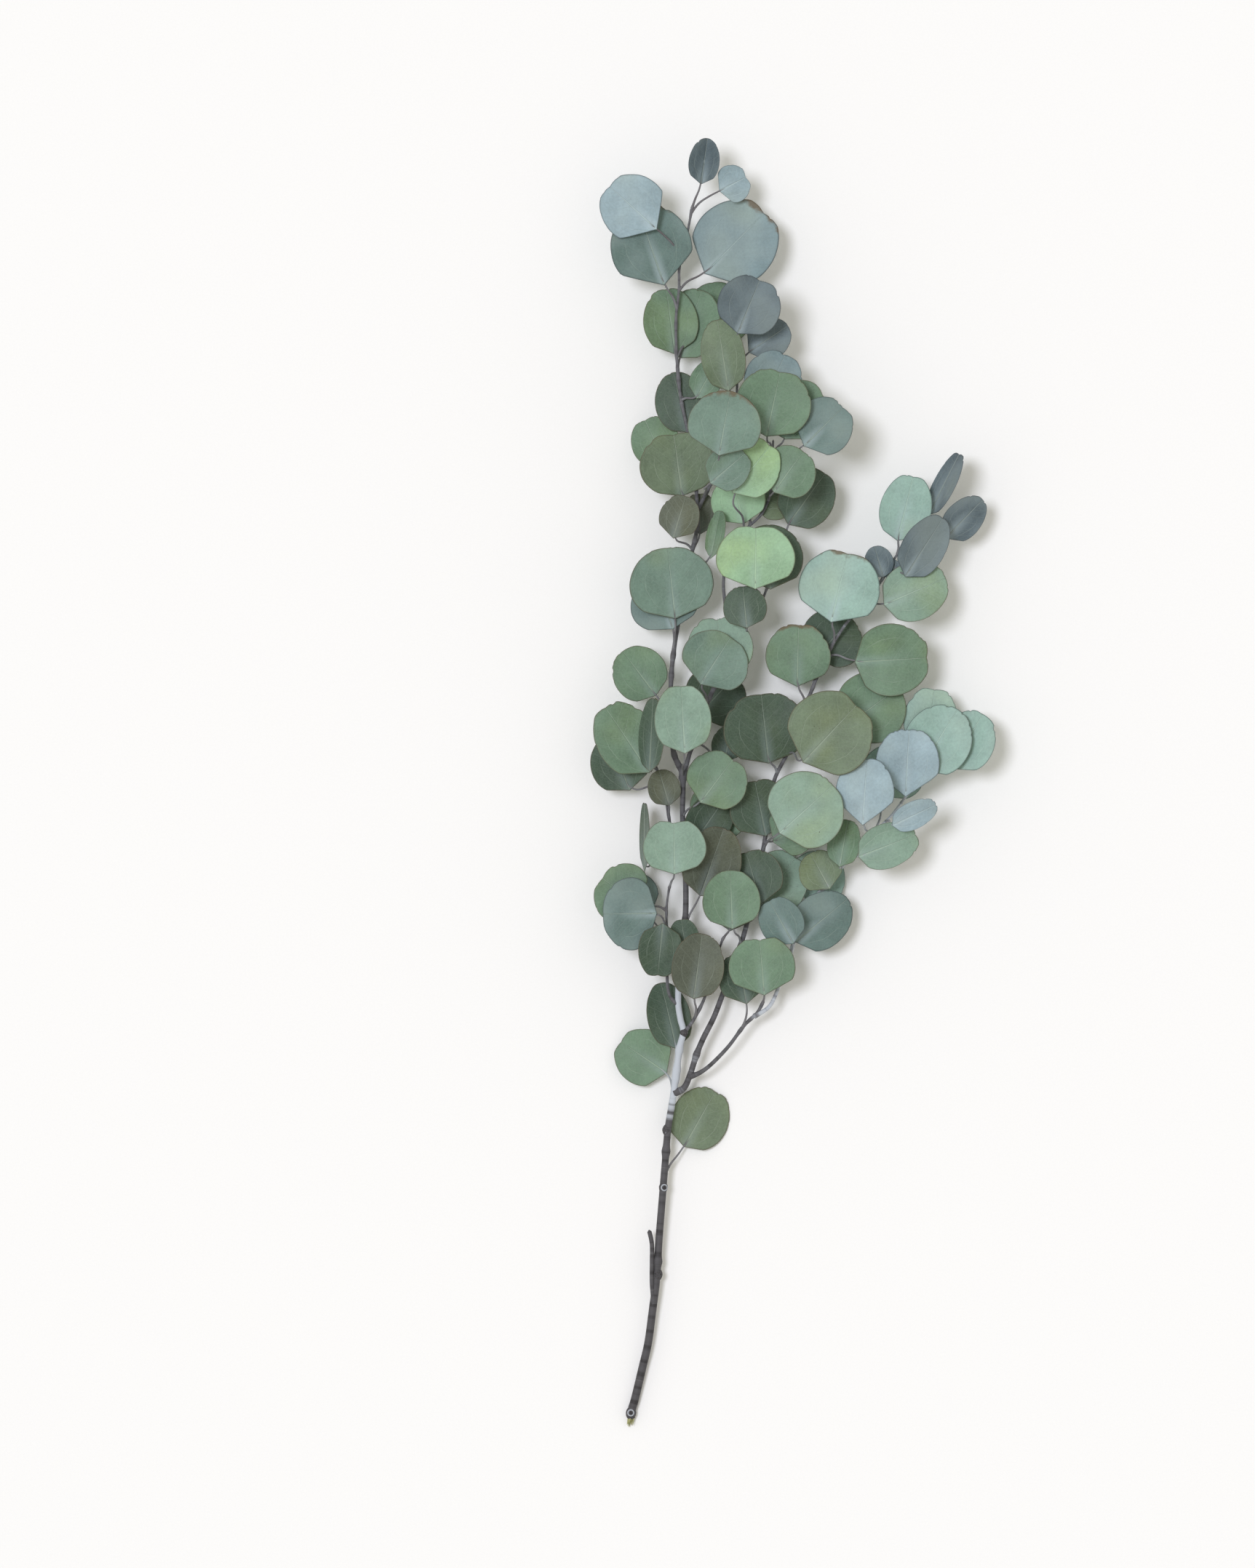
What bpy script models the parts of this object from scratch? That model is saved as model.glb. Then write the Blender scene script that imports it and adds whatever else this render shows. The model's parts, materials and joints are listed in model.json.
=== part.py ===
"""A cut branch of round-leaved eucalyptus, lying on its side on a flat surface.

Metres, +Z up. The cut end points to -Y, the crown to +Y. The origin is at the
middle of the branch's box, on the surface that it lies on.
"""
import math
import random
from dataclasses import dataclass

import bmesh
import bpy
import numpy as np
from mathutils import Vector

# Driving sizes, in metres
BRANCH_LENGTH = 0.745
BLADE_THICKNESS = 0.0007
PETIOLE_RADIUS = 0.00065
PIECE_GAP = 0.0003
FACET_SHARE = 0.87
LEAF_CLEARANCE = 0.0014
BASE_STEP = 0.002
SURFACE_BASE = 0.011
MILLIMETRE = 0.001

# The branch in the picture, in pixels: its highest and lowest rows and its middle
PICTURE_TOP = 194.0
PICTURE_BOTTOM = 1966.0
MIDDLE_COLUMN = 1088.94
MIDDLE_ROW = 1081.81
PIXEL = BRANCH_LENGTH / (PICTURE_BOTTOM - PICTURE_TOP)

# How leaves stand when the table says nothing else, in degrees
PITCH_RANGE = (-9.0, 15.0)
ROLL_RANGE = (-15.0, 15.0)
CUP_RANGE = (0.03, 0.10)
WAVE_RANGE = (0.010, 0.028)
NOTCH_RANGE = (0.0, 0.07)
WEDGE_RANGE = (0.55, 1.0)
WEDGE_POWER = 1.15
SEED = 41

# The grid on which heights are kept, in metres
CELL = 0.002
GRID_HALF_X = 0.160
GRID_HALF_Y = 0.400
NO_CEILING = 1.0
SAMPLES = 34

# Facets
ROUTE_STEPS = 24
OUTLINE_STEPS = 7
MIDRIB_STEPS = (0.34, 0.68)
RINGS_PER_SPAN = {"trunk": 2, "side_limb": 2}
PETIOLE_SIDES = 3
PETIOLE_RINGS = 4

# Where the leaves lie among each other
ON_SURFACE = -9
UNDER_WOOD = -1


@dataclass(frozen=True)
class Stem:
    """One length of wood. Points are (column, row, height in millimetres)."""

    name: str
    node: str
    parent: str
    points: tuple
    foot_radius: float
    tip_radius: float
    sides: int = 6


@dataclass(frozen=True)
class Leaf:
    """One leaf: where its blade starts and ends in the picture, and how it stands.

    Base, tip, root and width are in pixels. Layer 1 is the lowest above the
    wood. Pitch, roll and fold are in degrees. The wedge is the turn of the
    outline, in radians, over which the blade narrows into its stalk.
    """

    stem: str
    base: tuple
    tip: tuple
    width: float
    layer: int
    pitch: float = None
    roll: float = None
    fold: float = 0.0
    root: tuple = None
    notch: float = None
    wedge: float = None


STEMS = (
    Stem("trunk", "main_stem", "", (
        (866, 1962, 2.64), (868, 1940, 3.04), (873, 1922, 3.6), (883, 1880, 4.8), (891, 1845, 6.0),
        (897, 1800, 7.2), (902, 1760, 8.4), (906, 1700, 9.8), (910, 1650, 11.0), (914, 1600, 12.0),
        (918, 1552, 13.0), (925, 1508, 14.0), (930, 1470, 15.0), (934, 1440, 16.0),
        (939, 1418, 16.6), (935, 1400, 17.0), (932, 1378, 17.4), (933, 1350, 18.0),
        (938, 1310, 19.0), (942, 1260, 20.0), (942, 1200, 20.5), (938, 1120, 21.0),
        (938, 1068, 21.5), (926, 1036, 22.0), (922, 995, 22.5), (922, 940, 23.0),
        (926, 895, 23.5), (936, 835, 24.0), (950, 765, 24.5), (958, 722, 25.0), (956, 668, 25.0),
        (946, 600, 24.5), (935, 545, 24.0), (930, 490, 24.0), (929, 440, 24.0), (933, 400, 24.0),
        (934, 365, 25.0), (944, 325, 27.0), (951, 288, 30.0)), 2.4, 0.65, 7),
    Stem("snag", "main_stem", "trunk", (
        (899, 1792, 8.4), (896, 1765, 9.6), (896, 1735, 10.4), (896, 1710, 11.2), (892, 1690, 12.4)),
         1.2, 1.3),
    Stem("right_limb", "right_limb", "trunk", (
        (926, 1502, 14.0), (940, 1495, 14.5), (949, 1475, 15.0), (957, 1450, 15.5),
        (966, 1428, 16.0), (981, 1398, 16.5), (991, 1372, 17.0), (1002, 1342, 17.5),
        (1012, 1312, 18.0), (1022, 1285, 18.5), (1033, 1240, 19.0), (1041, 1200, 19.5),
        (1049, 1165, 20.0), (1057, 1115, 20.5), (1064, 1072, 21.0), (1087, 1025, 22.0),
        (1109, 965, 23.0), (1123, 930, 23.5), (1142, 890, 24.0), (1163, 857, 24.5),
        (1190, 828, 25.0), (1211, 798, 25.5), (1229, 768, 26.0), (1248, 742, 26.5),
        (1266, 724, 27.0)), 1.75, 0.6),
    Stem("side_limb", "side_limb", "right_limb", (
        (947, 1480, 15.0), (962, 1474, 16.0), (978, 1462, 16.5), (1001, 1438, 17.0),
        (1022, 1410, 17.5), (1040, 1392, 18.0), (1050, 1374, 19.0)), 1.3, 0.8),
    Stem("outer_twig", "outer_spray", "side_limb", (
        (1036, 1397, 17.8), (1058, 1382, 18.0), (1072, 1350, 18.4), (1084, 1318, 18.8),
        (1092, 1290, 19.2), (1106, 1253, 20.0), (1122, 1230, 20.6), (1150, 1199, 21.4),
        (1178, 1167, 22.4), (1200, 1145, 23.0), (1226, 1119, 24.0), (1245, 1094, 24.6),
        (1266, 1074, 25.0), (1290, 1060, 25.6)), 1.15, 0.55),
    Stem("dark_twig", "dark_spray", "trunk", (
        (939, 1420, 16.6), (951, 1405, 17.4), (962, 1385, 18.6), (970, 1366, 19.6),
        (982, 1325, 21.0), (994, 1287, 22.0)), 1.0, 0.6),
    Stem("left_twig", "left_spray", "trunk", (
        (933, 1382, 17.4), (921, 1369, 17.8), (917, 1348, 18.4), (917, 1300, 19.6),
        (916, 1250, 20.8), (920, 1218, 22.0)), 1.0, 0.6),
    Stem("inner_twig", "inner_spray", "trunk", (
        (941, 1184, 20.6), (926, 1162, 20.0), (919, 1122, 19.6), (912, 1085, 19.4),
        (900, 1050, 20.0), (890, 1020, 21.0)), 0.95, 0.55),
    Stem("middle_twig", "middle_spray", "trunk", (
        (938, 1072, 21.5), (952, 1022, 23.0), (974, 962, 25.0), (999, 905, 27.0),
        (998, 850, 28.0), (994, 800, 28.5), (1003, 758, 29.0), (1024, 730, 29.4),
        (1046, 708, 29.6), (1058, 680, 29.8), (1061, 640, 30.0), (1062, 606, 30.6)), 1.3, 0.6),
    Stem("bright_twig", "middle_spray", "middle_twig", (
        (998, 908, 26.8), (1018, 882, 27.4), (1031, 848, 28.4), (1040, 818, 29.4)), 0.9, 0.7),
    Stem("blue_twig", "middle_spray", "bright_twig", (
        (1030, 852, 28.2), (1048, 824, 28.6), (1062, 780, 29.4), (1078, 738, 30.4)), 0.75, 0.6),
    Stem("upper_twig", "upper_spray", "trunk", (
        (957, 705, 25.0), (972, 676, 26.0), (990, 640, 27.0), (1004, 600, 28.0),
        (1011, 560, 28.6), (1013, 515, 29.2), (1013, 470, 30.0)), 1.05, 0.6),
)

LEAVES = (
    # Crown: the blue leaves at the tip, and those down the main stem as far as its last fork
    Leaf("trunk", (963, 257), (972, 194), 42, 5, pitch=8, fold=42, root=(951, 289), notch=0),
    Leaf("trunk", (988, 266), (1028, 245), 52, 4, pitch=10, roll=-24, root=(950, 296), notch=0.1),
    Leaf("trunk", (903, 319), (835, 257), 90, 3, pitch=6, roll=12, root=(934, 360), wedge=1.2),
    Leaf("trunk", (913, 395), (875, 285), 112, 1, pitch=-4, roll=-6, root=(931, 425), wedge=1.1),
    Leaf("trunk", (968, 379), (1055, 290), 115, 1, pitch=-2, roll=8, root=(933, 402), notch=0.06,
         wedge=0.9),
    Leaf("trunk", (928, 489), (915, 396), 75, UNDER_WOOD, pitch=-4, roll=-10, root=(931, 508)),
    Leaf("trunk", (934, 494), (965, 398), 80, UNDER_WOOD, pitch=-5, roll=12, root=(932, 516)),
    Leaf("trunk", (957, 550), (985, 497), 44, 1, pitch=5, roll=14, root=(936, 552)),
    Leaf("trunk", (945, 596), (925, 513), 70, UNDER_WOOD, pitch=-3, roll=8, root=(951, 630)),
    Leaf("trunk", (937, 684), (925, 594), 104, 2, pitch=4, roll=-12, root=(957, 705)),
    Leaf("trunk", (925, 742), (943, 682), 55, 3, pitch=12, roll=26, root=(952, 756)),
    Leaf("trunk", (962, 736), (962, 678), 50, UNDER_WOOD, pitch=-4, roll=-8, root=(951, 762)),
    Leaf("trunk", (976, 770), (990, 702), 25, 3, pitch=8, roll=38, fold=24, root=(945, 790)),
    Leaf("trunk", (928, 852), (917, 752), 115, 3, pitch=6, roll=-6, root=(926, 892)),
    Leaf("trunk", (925, 866), (900, 790), 95, 1, pitch=-6, roll=10, root=(925, 900)),
    # Upper twig: the slate and olive leaves right of the crown
    Leaf("upper_twig", (1013, 463), (1045, 385), 87, 4, pitch=10, roll=-14, fold=8, root=(1013, 478)),
    Leaf("upper_twig", (1028, 487), (1083, 450), 58, 1, pitch=2, roll=16, root=(1013, 512)),
    Leaf("upper_twig", (1001, 541), (985, 440), 60, 3, pitch=5, roll=24, root=(1011, 562)),
    Leaf("upper_twig", (1045, 560), (1080, 487), 80, 1, pitch=-3, roll=-9, root=(1010, 576)),
    Leaf("upper_twig", (987, 631), (1003, 543), 101, 5, pitch=9, roll=5, root=(977, 668), notch=0),
    Leaf("upper_twig", (975, 668), (1025, 625), 60, 4, pitch=7, roll=-16, root=(968, 684)),
    # Middle twig: the heap of round leaves between the crown and the right limb
    Leaf("middle_twig", (1052, 604), (1072, 510), 103, 3, pitch=6, roll=-6, root=(1062, 622)),
    Leaf("middle_twig", (1078, 607), (1100, 520), 95, 1, pitch=-5, roll=10, root=(1062, 628)),
    Leaf("middle_twig", (1103, 617), (1160, 560), 80, 2, pitch=-6, roll=9, root=(1061, 650)),
    Leaf("middle_twig", (1062, 680), (1104, 622), 76, 2, pitch=5, roll=12, root=(1056, 690)),
    Leaf("middle_twig", (1006, 681), (1060, 612), 75, 3, pitch=4, roll=-10, root=(1022, 732)),
    Leaf("middle_twig", (1022, 722), (1005, 655), 75, 2, pitch=-4, roll=8, root=(1018, 738)),
    Leaf("blue_twig", (1082, 723), (1135, 650), 75, 1, pitch=-3, roll=-12, root=(1076, 742)),
    Leaf("bright_twig", (1037, 812), (1038, 722), 108, 3, pitch=8, roll=3, notch=0.07,
         root=(1039, 822)),
    Leaf("blue_twig", (1058, 812), (1056, 722), 92, 1, pitch=-8, roll=-12, root=(1052, 812)),
    Leaf("middle_twig", (993, 934), (985, 845), 90, 1, pitch=-5, roll=10, notch=0.08,
         root=(990, 925)),
    Leaf("middle_twig", (962, 942), (1005, 875), 95, 2, pitch=6, roll=-8, root=(972, 966)),
    Leaf("bright_twig", (1026, 865), (1020, 806), 60, 1, pitch=-4, roll=15, root=(1022, 874)),
    Leaf("middle_twig", (996, 1048), (1004, 998), 45, 1, pitch=4, roll=18, root=(953, 1020)),
    # Main stem, from the middle fork down to the lowest leaf
    Leaf("trunk", (941, 1037), (935, 940), 78, 4, pitch=7, roll=-5, root=(938, 1068)),
    Leaf("trunk", (902, 957), (855, 895), 75, 3, pitch=3, roll=-10, root=(922, 992), notch=0.02),
    Leaf("trunk", (962, 1104), (1010, 1040), 85, 3, pitch=6, roll=8, root=(938, 1122), notch=0.08),
    Leaf("trunk", (952, 1160), (1000, 1092), 62, 1, pitch=-2, roll=-12, root=(941, 1182)),
    Leaf("trunk", (962, 1232), (995, 1137), 80, 2, pitch=12, fold=26, root=(942, 1276)),
    Leaf("trunk", (944, 1312), (936, 1262), 42, 1, pitch=4, roll=20, root=(937, 1330)),
    Leaf("trunk", (930, 1442), (908, 1350), 60, UNDER_WOOD, pitch=-4, roll=-10, root=(929, 1478)),
    Leaf("trunk", (917, 1475), (850, 1430), 78, UNDER_WOOD, pitch=-7, roll=6, root=(924, 1512)),
    Leaf("trunk", (940, 1577), (985, 1497), 80, UNDER_WOOD, pitch=-5, roll=-12, root=(913, 1618)),
    # Inner twig: the leaves that stand out to the left at half height
    Leaf("inner_twig", (893, 1062), (898, 958), 35, 3, pitch=5, roll=58, root=(903, 1058)),
    Leaf("inner_twig", (893, 1063), (830, 970), 85, 2, pitch=3, roll=-8, root=(900, 1050)),
    Leaf("inner_twig", (866, 1087), (835, 1010), 80, 1, pitch=-5, roll=8, root=(911, 1082)),
    Leaf("inner_twig", (920, 1108), (905, 1058), 45, 1, pitch=3, roll=-14, root=(921, 1124)),
    Leaf("inner_twig", (886, 1200), (886, 1100), 14, 1, pitch=2, roll=76, root=(926, 1155)),
    # Left twig: the pale heart, the large blue leaf left of it and those beneath
    Leaf("left_twig", (927, 1202), (926, 1124), 87, 3, pitch=9, roll=4, notch=0.1, root=(920, 1220)),
    Leaf("left_twig", (903, 1255), (827, 1256), 100, 2, pitch=5, roll=7, root=(917, 1286)),
    Leaf("left_twig", (880, 1245), (825, 1205), 85, 1, pitch=-4, roll=-9, root=(916, 1252)),
    Leaf("left_twig", (911, 1268), (903, 1345), 60, 2, pitch=-6, roll=12, root=(917, 1296)),
    # Dark twig
    Leaf("dark_twig", (953, 1373), (965, 1281), 72, 3, pitch=6, roll=-8, fold=14, root=(956, 1397)),
    Leaf("dark_twig", (1003, 1280), (1010, 1206), 66, 1, pitch=-3, roll=10, root=(992, 1292)),
    # Right limb, from its foot up to the cluster at its tip
    Leaf("right_limb", (1006, 1277), (1003, 1195), 80, 3, pitch=7, roll=-7, root=(1018, 1297)),
    Leaf("right_limb", (1046, 1243), (1024, 1168), 80, 1, pitch=-2, roll=10, root=(1030, 1254)),
    Leaf("right_limb", (1040, 1252), (1095, 1175), 85, UNDER_WOOD, pitch=-5, roll=6,
         root=(1029, 1258)),
    Leaf("right_limb", (1052, 1150), (1036, 1070), 85, 1, pitch=2, roll=-12, root=(1050, 1160)),
    Leaf("right_limb", (1070, 1146), (1145, 1078), 110, 5, pitch=7, roll=6, root=(1048, 1168)),
    Leaf("right_limb", (1062, 1158), (1112, 1126), 70, 1, pitch=-4, roll=-8, root=(1050, 1160)),
    Leaf("right_limb", (1056, 1050), (1045, 951), 115, 2, pitch=5, roll=-9, root=(1068, 1062)),
    Leaf("right_limb", (1102, 1049), (1180, 965), 120, 5, pitch=3, roll=-6, root=(1082, 1036),
         notch=0.07),
    Leaf("right_limb", (1160, 1000), (1235, 945), 100, 3, pitch=-4, roll=5, root=(1110, 962)),
    Leaf("right_limb", (1095, 945), (1097, 856), 89, 3, pitch=6, roll=8, root=(1106, 972)),
    Leaf("right_limb", (1173, 911), (1278, 905), 99, 4, pitch=2, roll=-10, root=(1136, 903)),
    Leaf("right_limb", (1141, 857), (1165, 757), 112, 4, pitch=6, roll=7, notch=0.06,
         root=(1146, 884)),
    Leaf("right_limb", (1213, 833), (1300, 795), 80, 3, pitch=-3, roll=11, root=(1186, 832)),
    Leaf("right_limb", (1213, 795), (1200, 752), 40, 2, pitch=8, roll=-18, root=(1206, 806)),
    Leaf("right_limb", (1222, 800), (1232, 770), 30, 1, pitch=5, roll=12, root=(1218, 787)),
    Leaf("right_limb", (1242, 795), (1295, 712), 60, 4, pitch=5, roll=-26, root=(1222, 780)),
    Leaf("right_limb", (1232, 745), (1255, 653), 70, 3, pitch=4, roll=10, root=(1232, 763)),
    Leaf("right_limb", (1275, 710), (1319, 622), 30, 2, pitch=4, roll=56, root=(1263, 727)),
    Leaf("right_limb", (1297, 742), (1350, 687), 50, 1, pitch=-2, roll=-34, root=(1256, 734)),
    # Side limb: the fresh leaf over the fork and the dark one behind it
    Leaf("side_limb", (1050, 1368), (1043, 1285), 92, 3, pitch=8, roll=4, notch=0.08,
         root=(1047, 1380)),
    Leaf("side_limb", (1026, 1380), (1012, 1308), 64, 2, pitch=-2, roll=-10, root=(1020, 1413)),
    # Outer twig: the silver and teal leaves at the far right
    Leaf("outer_twig", (1090, 1297), (1055, 1235), 60, 2, pitch=4, roll=12, root=(1086, 1310)),
    Leaf("outer_twig", (1092, 1295), (1165, 1235), 75, 1, pitch=-5, roll=-8, root=(1090, 1297)),
    Leaf("outer_twig", (1140, 1222), (1112, 1172), 60, 1, pitch=3, roll=-12, root=(1128, 1224)),
    Leaf("outer_twig", (1153, 1192), (1165, 1125), 45, 2, pitch=5, roll=22, root=(1152, 1197)),
    Leaf("outer_twig", (1178, 1178), (1262, 1145), 62, 3, pitch=-3, roll=-12, root=(1165, 1181)),
    Leaf("outer_twig", (1184, 1135), (1190, 1040), 80, 4, pitch=4, roll=9, root=(1192, 1152),
         wedge=1.3),
    Leaf("outer_twig", (1243, 1096), (1248, 999), 88, 3, pitch=6, roll=-5, root=(1238, 1104),
         wedge=1.25),
    Leaf("outer_twig", (1262, 1060), (1315, 975), 92, 2, pitch=-3, roll=6, root=(1256, 1084)),
    Leaf("outer_twig", (1272, 1030), (1284, 944), 75, 1, pitch=-5, roll=-9, root=(1262, 1078)),
    Leaf("outer_twig", (1307, 1058), (1350, 980), 75, 1, pitch=-4, roll=12, root=(1286, 1062)),
    Leaf("outer_twig", (1224, 1135), (1286, 1105), 38, 3, pitch=5, roll=-28, root=(1216, 1129)),
    # Leaves that hang down and lie with their tips flat on the surface
    Leaf("trunk", (962, 462), (1016, 398), 92, ON_SURFACE, pitch=-25, root=(930, 492), notch=0.05),
    Leaf("trunk", (958, 985), (1012, 928), 88, ON_SURFACE, pitch=-24, root=(922, 1020), notch=0.04),
    Leaf("left_twig", (893, 1262), (838, 1214), 84, ON_SURFACE, pitch=-25, root=(917, 1300),
         notch=0.05),
    Leaf("right_limb", (1152, 985), (1228, 968), 92, ON_SURFACE, pitch=-24, root=(1104, 978),
         notch=0.06),
    Leaf("outer_twig", (1214, 1096), (1242, 1026), 86, ON_SURFACE, pitch=-25, root=(1200, 1145),
         notch=0.03),
    # Leaves on the underside
    Leaf("trunk", (915, 640), (885, 575), 66, UNDER_WOOD, pitch=-12, roll=8, root=(954, 655)),
    Leaf("middle_twig", (1028, 690), (1092, 660), 84, UNDER_WOOD, pitch=-8, roll=6,
         root=(1030, 724)),
    Leaf("trunk", (962, 1140), (1015, 1088), 84, UNDER_WOOD, pitch=-9, roll=-5, root=(939, 1150)),
    Leaf("right_limb", (1120, 905), (1170, 850), 86, UNDER_WOOD, pitch=-9, roll=6,
         root=(1117, 945)),
    Leaf("outer_twig", (1100, 1232), (1150, 1180), 78, UNDER_WOOD, pitch=-8, roll=-6,
         root=(1098, 1272)),
)

# Swellings on the trunk: (column, row, side of the trunk, size in millimetres)
KNOTS = ((867, 1942, -0.2, 3.0), (909, 1752, 0.9, 2.7), (913, 1632, 0.2, 2.6), (917, 1551, -1.0, 2.5),
         (938, 1418, 0.5, 2.4), (938, 1068, 0.3, 1.9))


def place(column, row, height=0.0):
    """The point over a pixel of the picture, at a height in metres."""
    return Vector(((column - MIDDLE_COLUMN) * PIXEL, (MIDDLE_ROW - row) * PIXEL, height))


def clear_scene():
    """Empties the scene."""
    for found in list(bpy.data.objects):
        bpy.data.objects.remove(found, do_unlink=True)


def smooth_route(points, steps):
    """A Catmull-Rom curve through the points, with this many steps to a span."""
    padded = [points[0] * 2 - points[1], *points, points[-1] * 2 - points[-2]]
    route = []
    for before, start, end, after in zip(padded, padded[1:], padded[2:], padded[3:]):
        for step in range(steps):
            t = step / steps
            route.append(0.5 * (2 * start + (end - before) * t
                                + (2 * before - 5 * start + 4 * end - after) * t * t
                                + (3 * start - before - 3 * end + after) * t ** 3))
    route.append(points[-1].copy())
    return route


def along(route, share):
    """The point at a share of the route's own number of steps."""
    place_on = share * (len(route) - 1)
    step = min(int(place_on), len(route) - 2)
    return route[step].lerp(route[step + 1], place_on - step)


def nearest(route, point):
    """The share of a route at which it passes closest to a point, seen from above."""
    gaps = [(spot.xy - point.xy).length for spot in route]
    return gaps.index(min(gaps)) / (len(route) - 1)


def stem_radius(stem, share):
    """A stem's radius at a share of its length, in metres."""
    return (stem.foot_radius + (stem.tip_radius - stem.foot_radius) * share) * MILLIMETRE


def clearance(spot, stem, parent, parent_route):
    """How far a stem whose middle is at this spot stands clear of its parent's bark."""
    gaps = [(other - spot).length for other in parent_route]
    share = gaps.index(min(gaps)) / (len(gaps) - 1)
    radii = stem_radius(stem, 0.0) + stem_radius(parent, share)
    return min(gaps) - FACET_SHARE * radii - PIECE_GAP


def cut_back(route, stem, parent, parent_route):
    """The stem's route, started where the stem first stands clear of its parent."""
    before = clearance(route[0], stem, parent, parent_route)
    for step in range(1, len(route)):
        now = clearance(route[step], stem, parent, parent_route)
        if now > 0.0:
            share = max(0.0, -before / (now - before))
            return [route[step - 1].lerp(route[step], share), *route[step:]]
        before = now
    return route


def stem_routes():
    """Every stem's fine centre line, each cut back to stand clear of the wood it grows from."""
    routes = {}
    stems = {stem.name: stem for stem in STEMS}
    for stem in STEMS:
        controls = [place(column, row, height * MILLIMETRE) for column, row, height in stem.points]
        route = smooth_route(controls, ROUTE_STEPS)
        parent = stems.get(stem.parent)
        if parent and parent.node != stem.node:
            route = cut_back(route, stem, parent, routes[parent.name])
        routes[stem.name] = route
    return routes


def tube_mesh(route, radii, sides, slant=0.0):
    """A closed tube round a route. A slant draws its first ring out to one side."""
    rings = []
    side = Vector((0, 0, 1))
    for index, centre in enumerate(route):
        ahead = route[min(index + 1, len(route) - 1)] - route[max(index - 1, 0)]
        ahead.normalize()
        side = (side - ahead * side.dot(ahead)).normalized()
        across = ahead.cross(side)
        ring = []
        for corner in range(sides):
            turn = 2 * math.pi * corner / sides
            spoke = side * math.cos(turn) + across * math.sin(turn)
            spot = centre + spoke * radii[index]
            if index == 0:
                spot = spot - ahead * slant * (0.5 - 0.5 * math.sin(turn))
            ring.append(spot)
        rings.append(ring)
    mesh = bmesh.new()
    rows = [[mesh.verts.new(spot) for spot in ring] for ring in rings]
    for lower, upper in zip(rows, rows[1:]):
        for corner in range(sides):
            turned = (corner + 1) % sides
            mesh.faces.new((lower[corner], lower[turned], upper[turned], upper[corner]))
    mesh.faces.new(list(reversed(rows[0])))
    mesh.faces.new(rows[-1])
    bmesh.ops.recalc_face_normals(mesh, faces=mesh.faces)
    return mesh


def to_object(name, mesh):
    """Turns a bmesh into an object in the scene."""
    bmesh.ops.triangulate(mesh, faces=mesh.faces)
    data = bpy.data.meshes.new(name)
    mesh.to_mesh(data)
    mesh.free()
    made = bpy.data.objects.new(name, data)
    bpy.context.scene.collection.objects.link(made)
    return made


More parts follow.
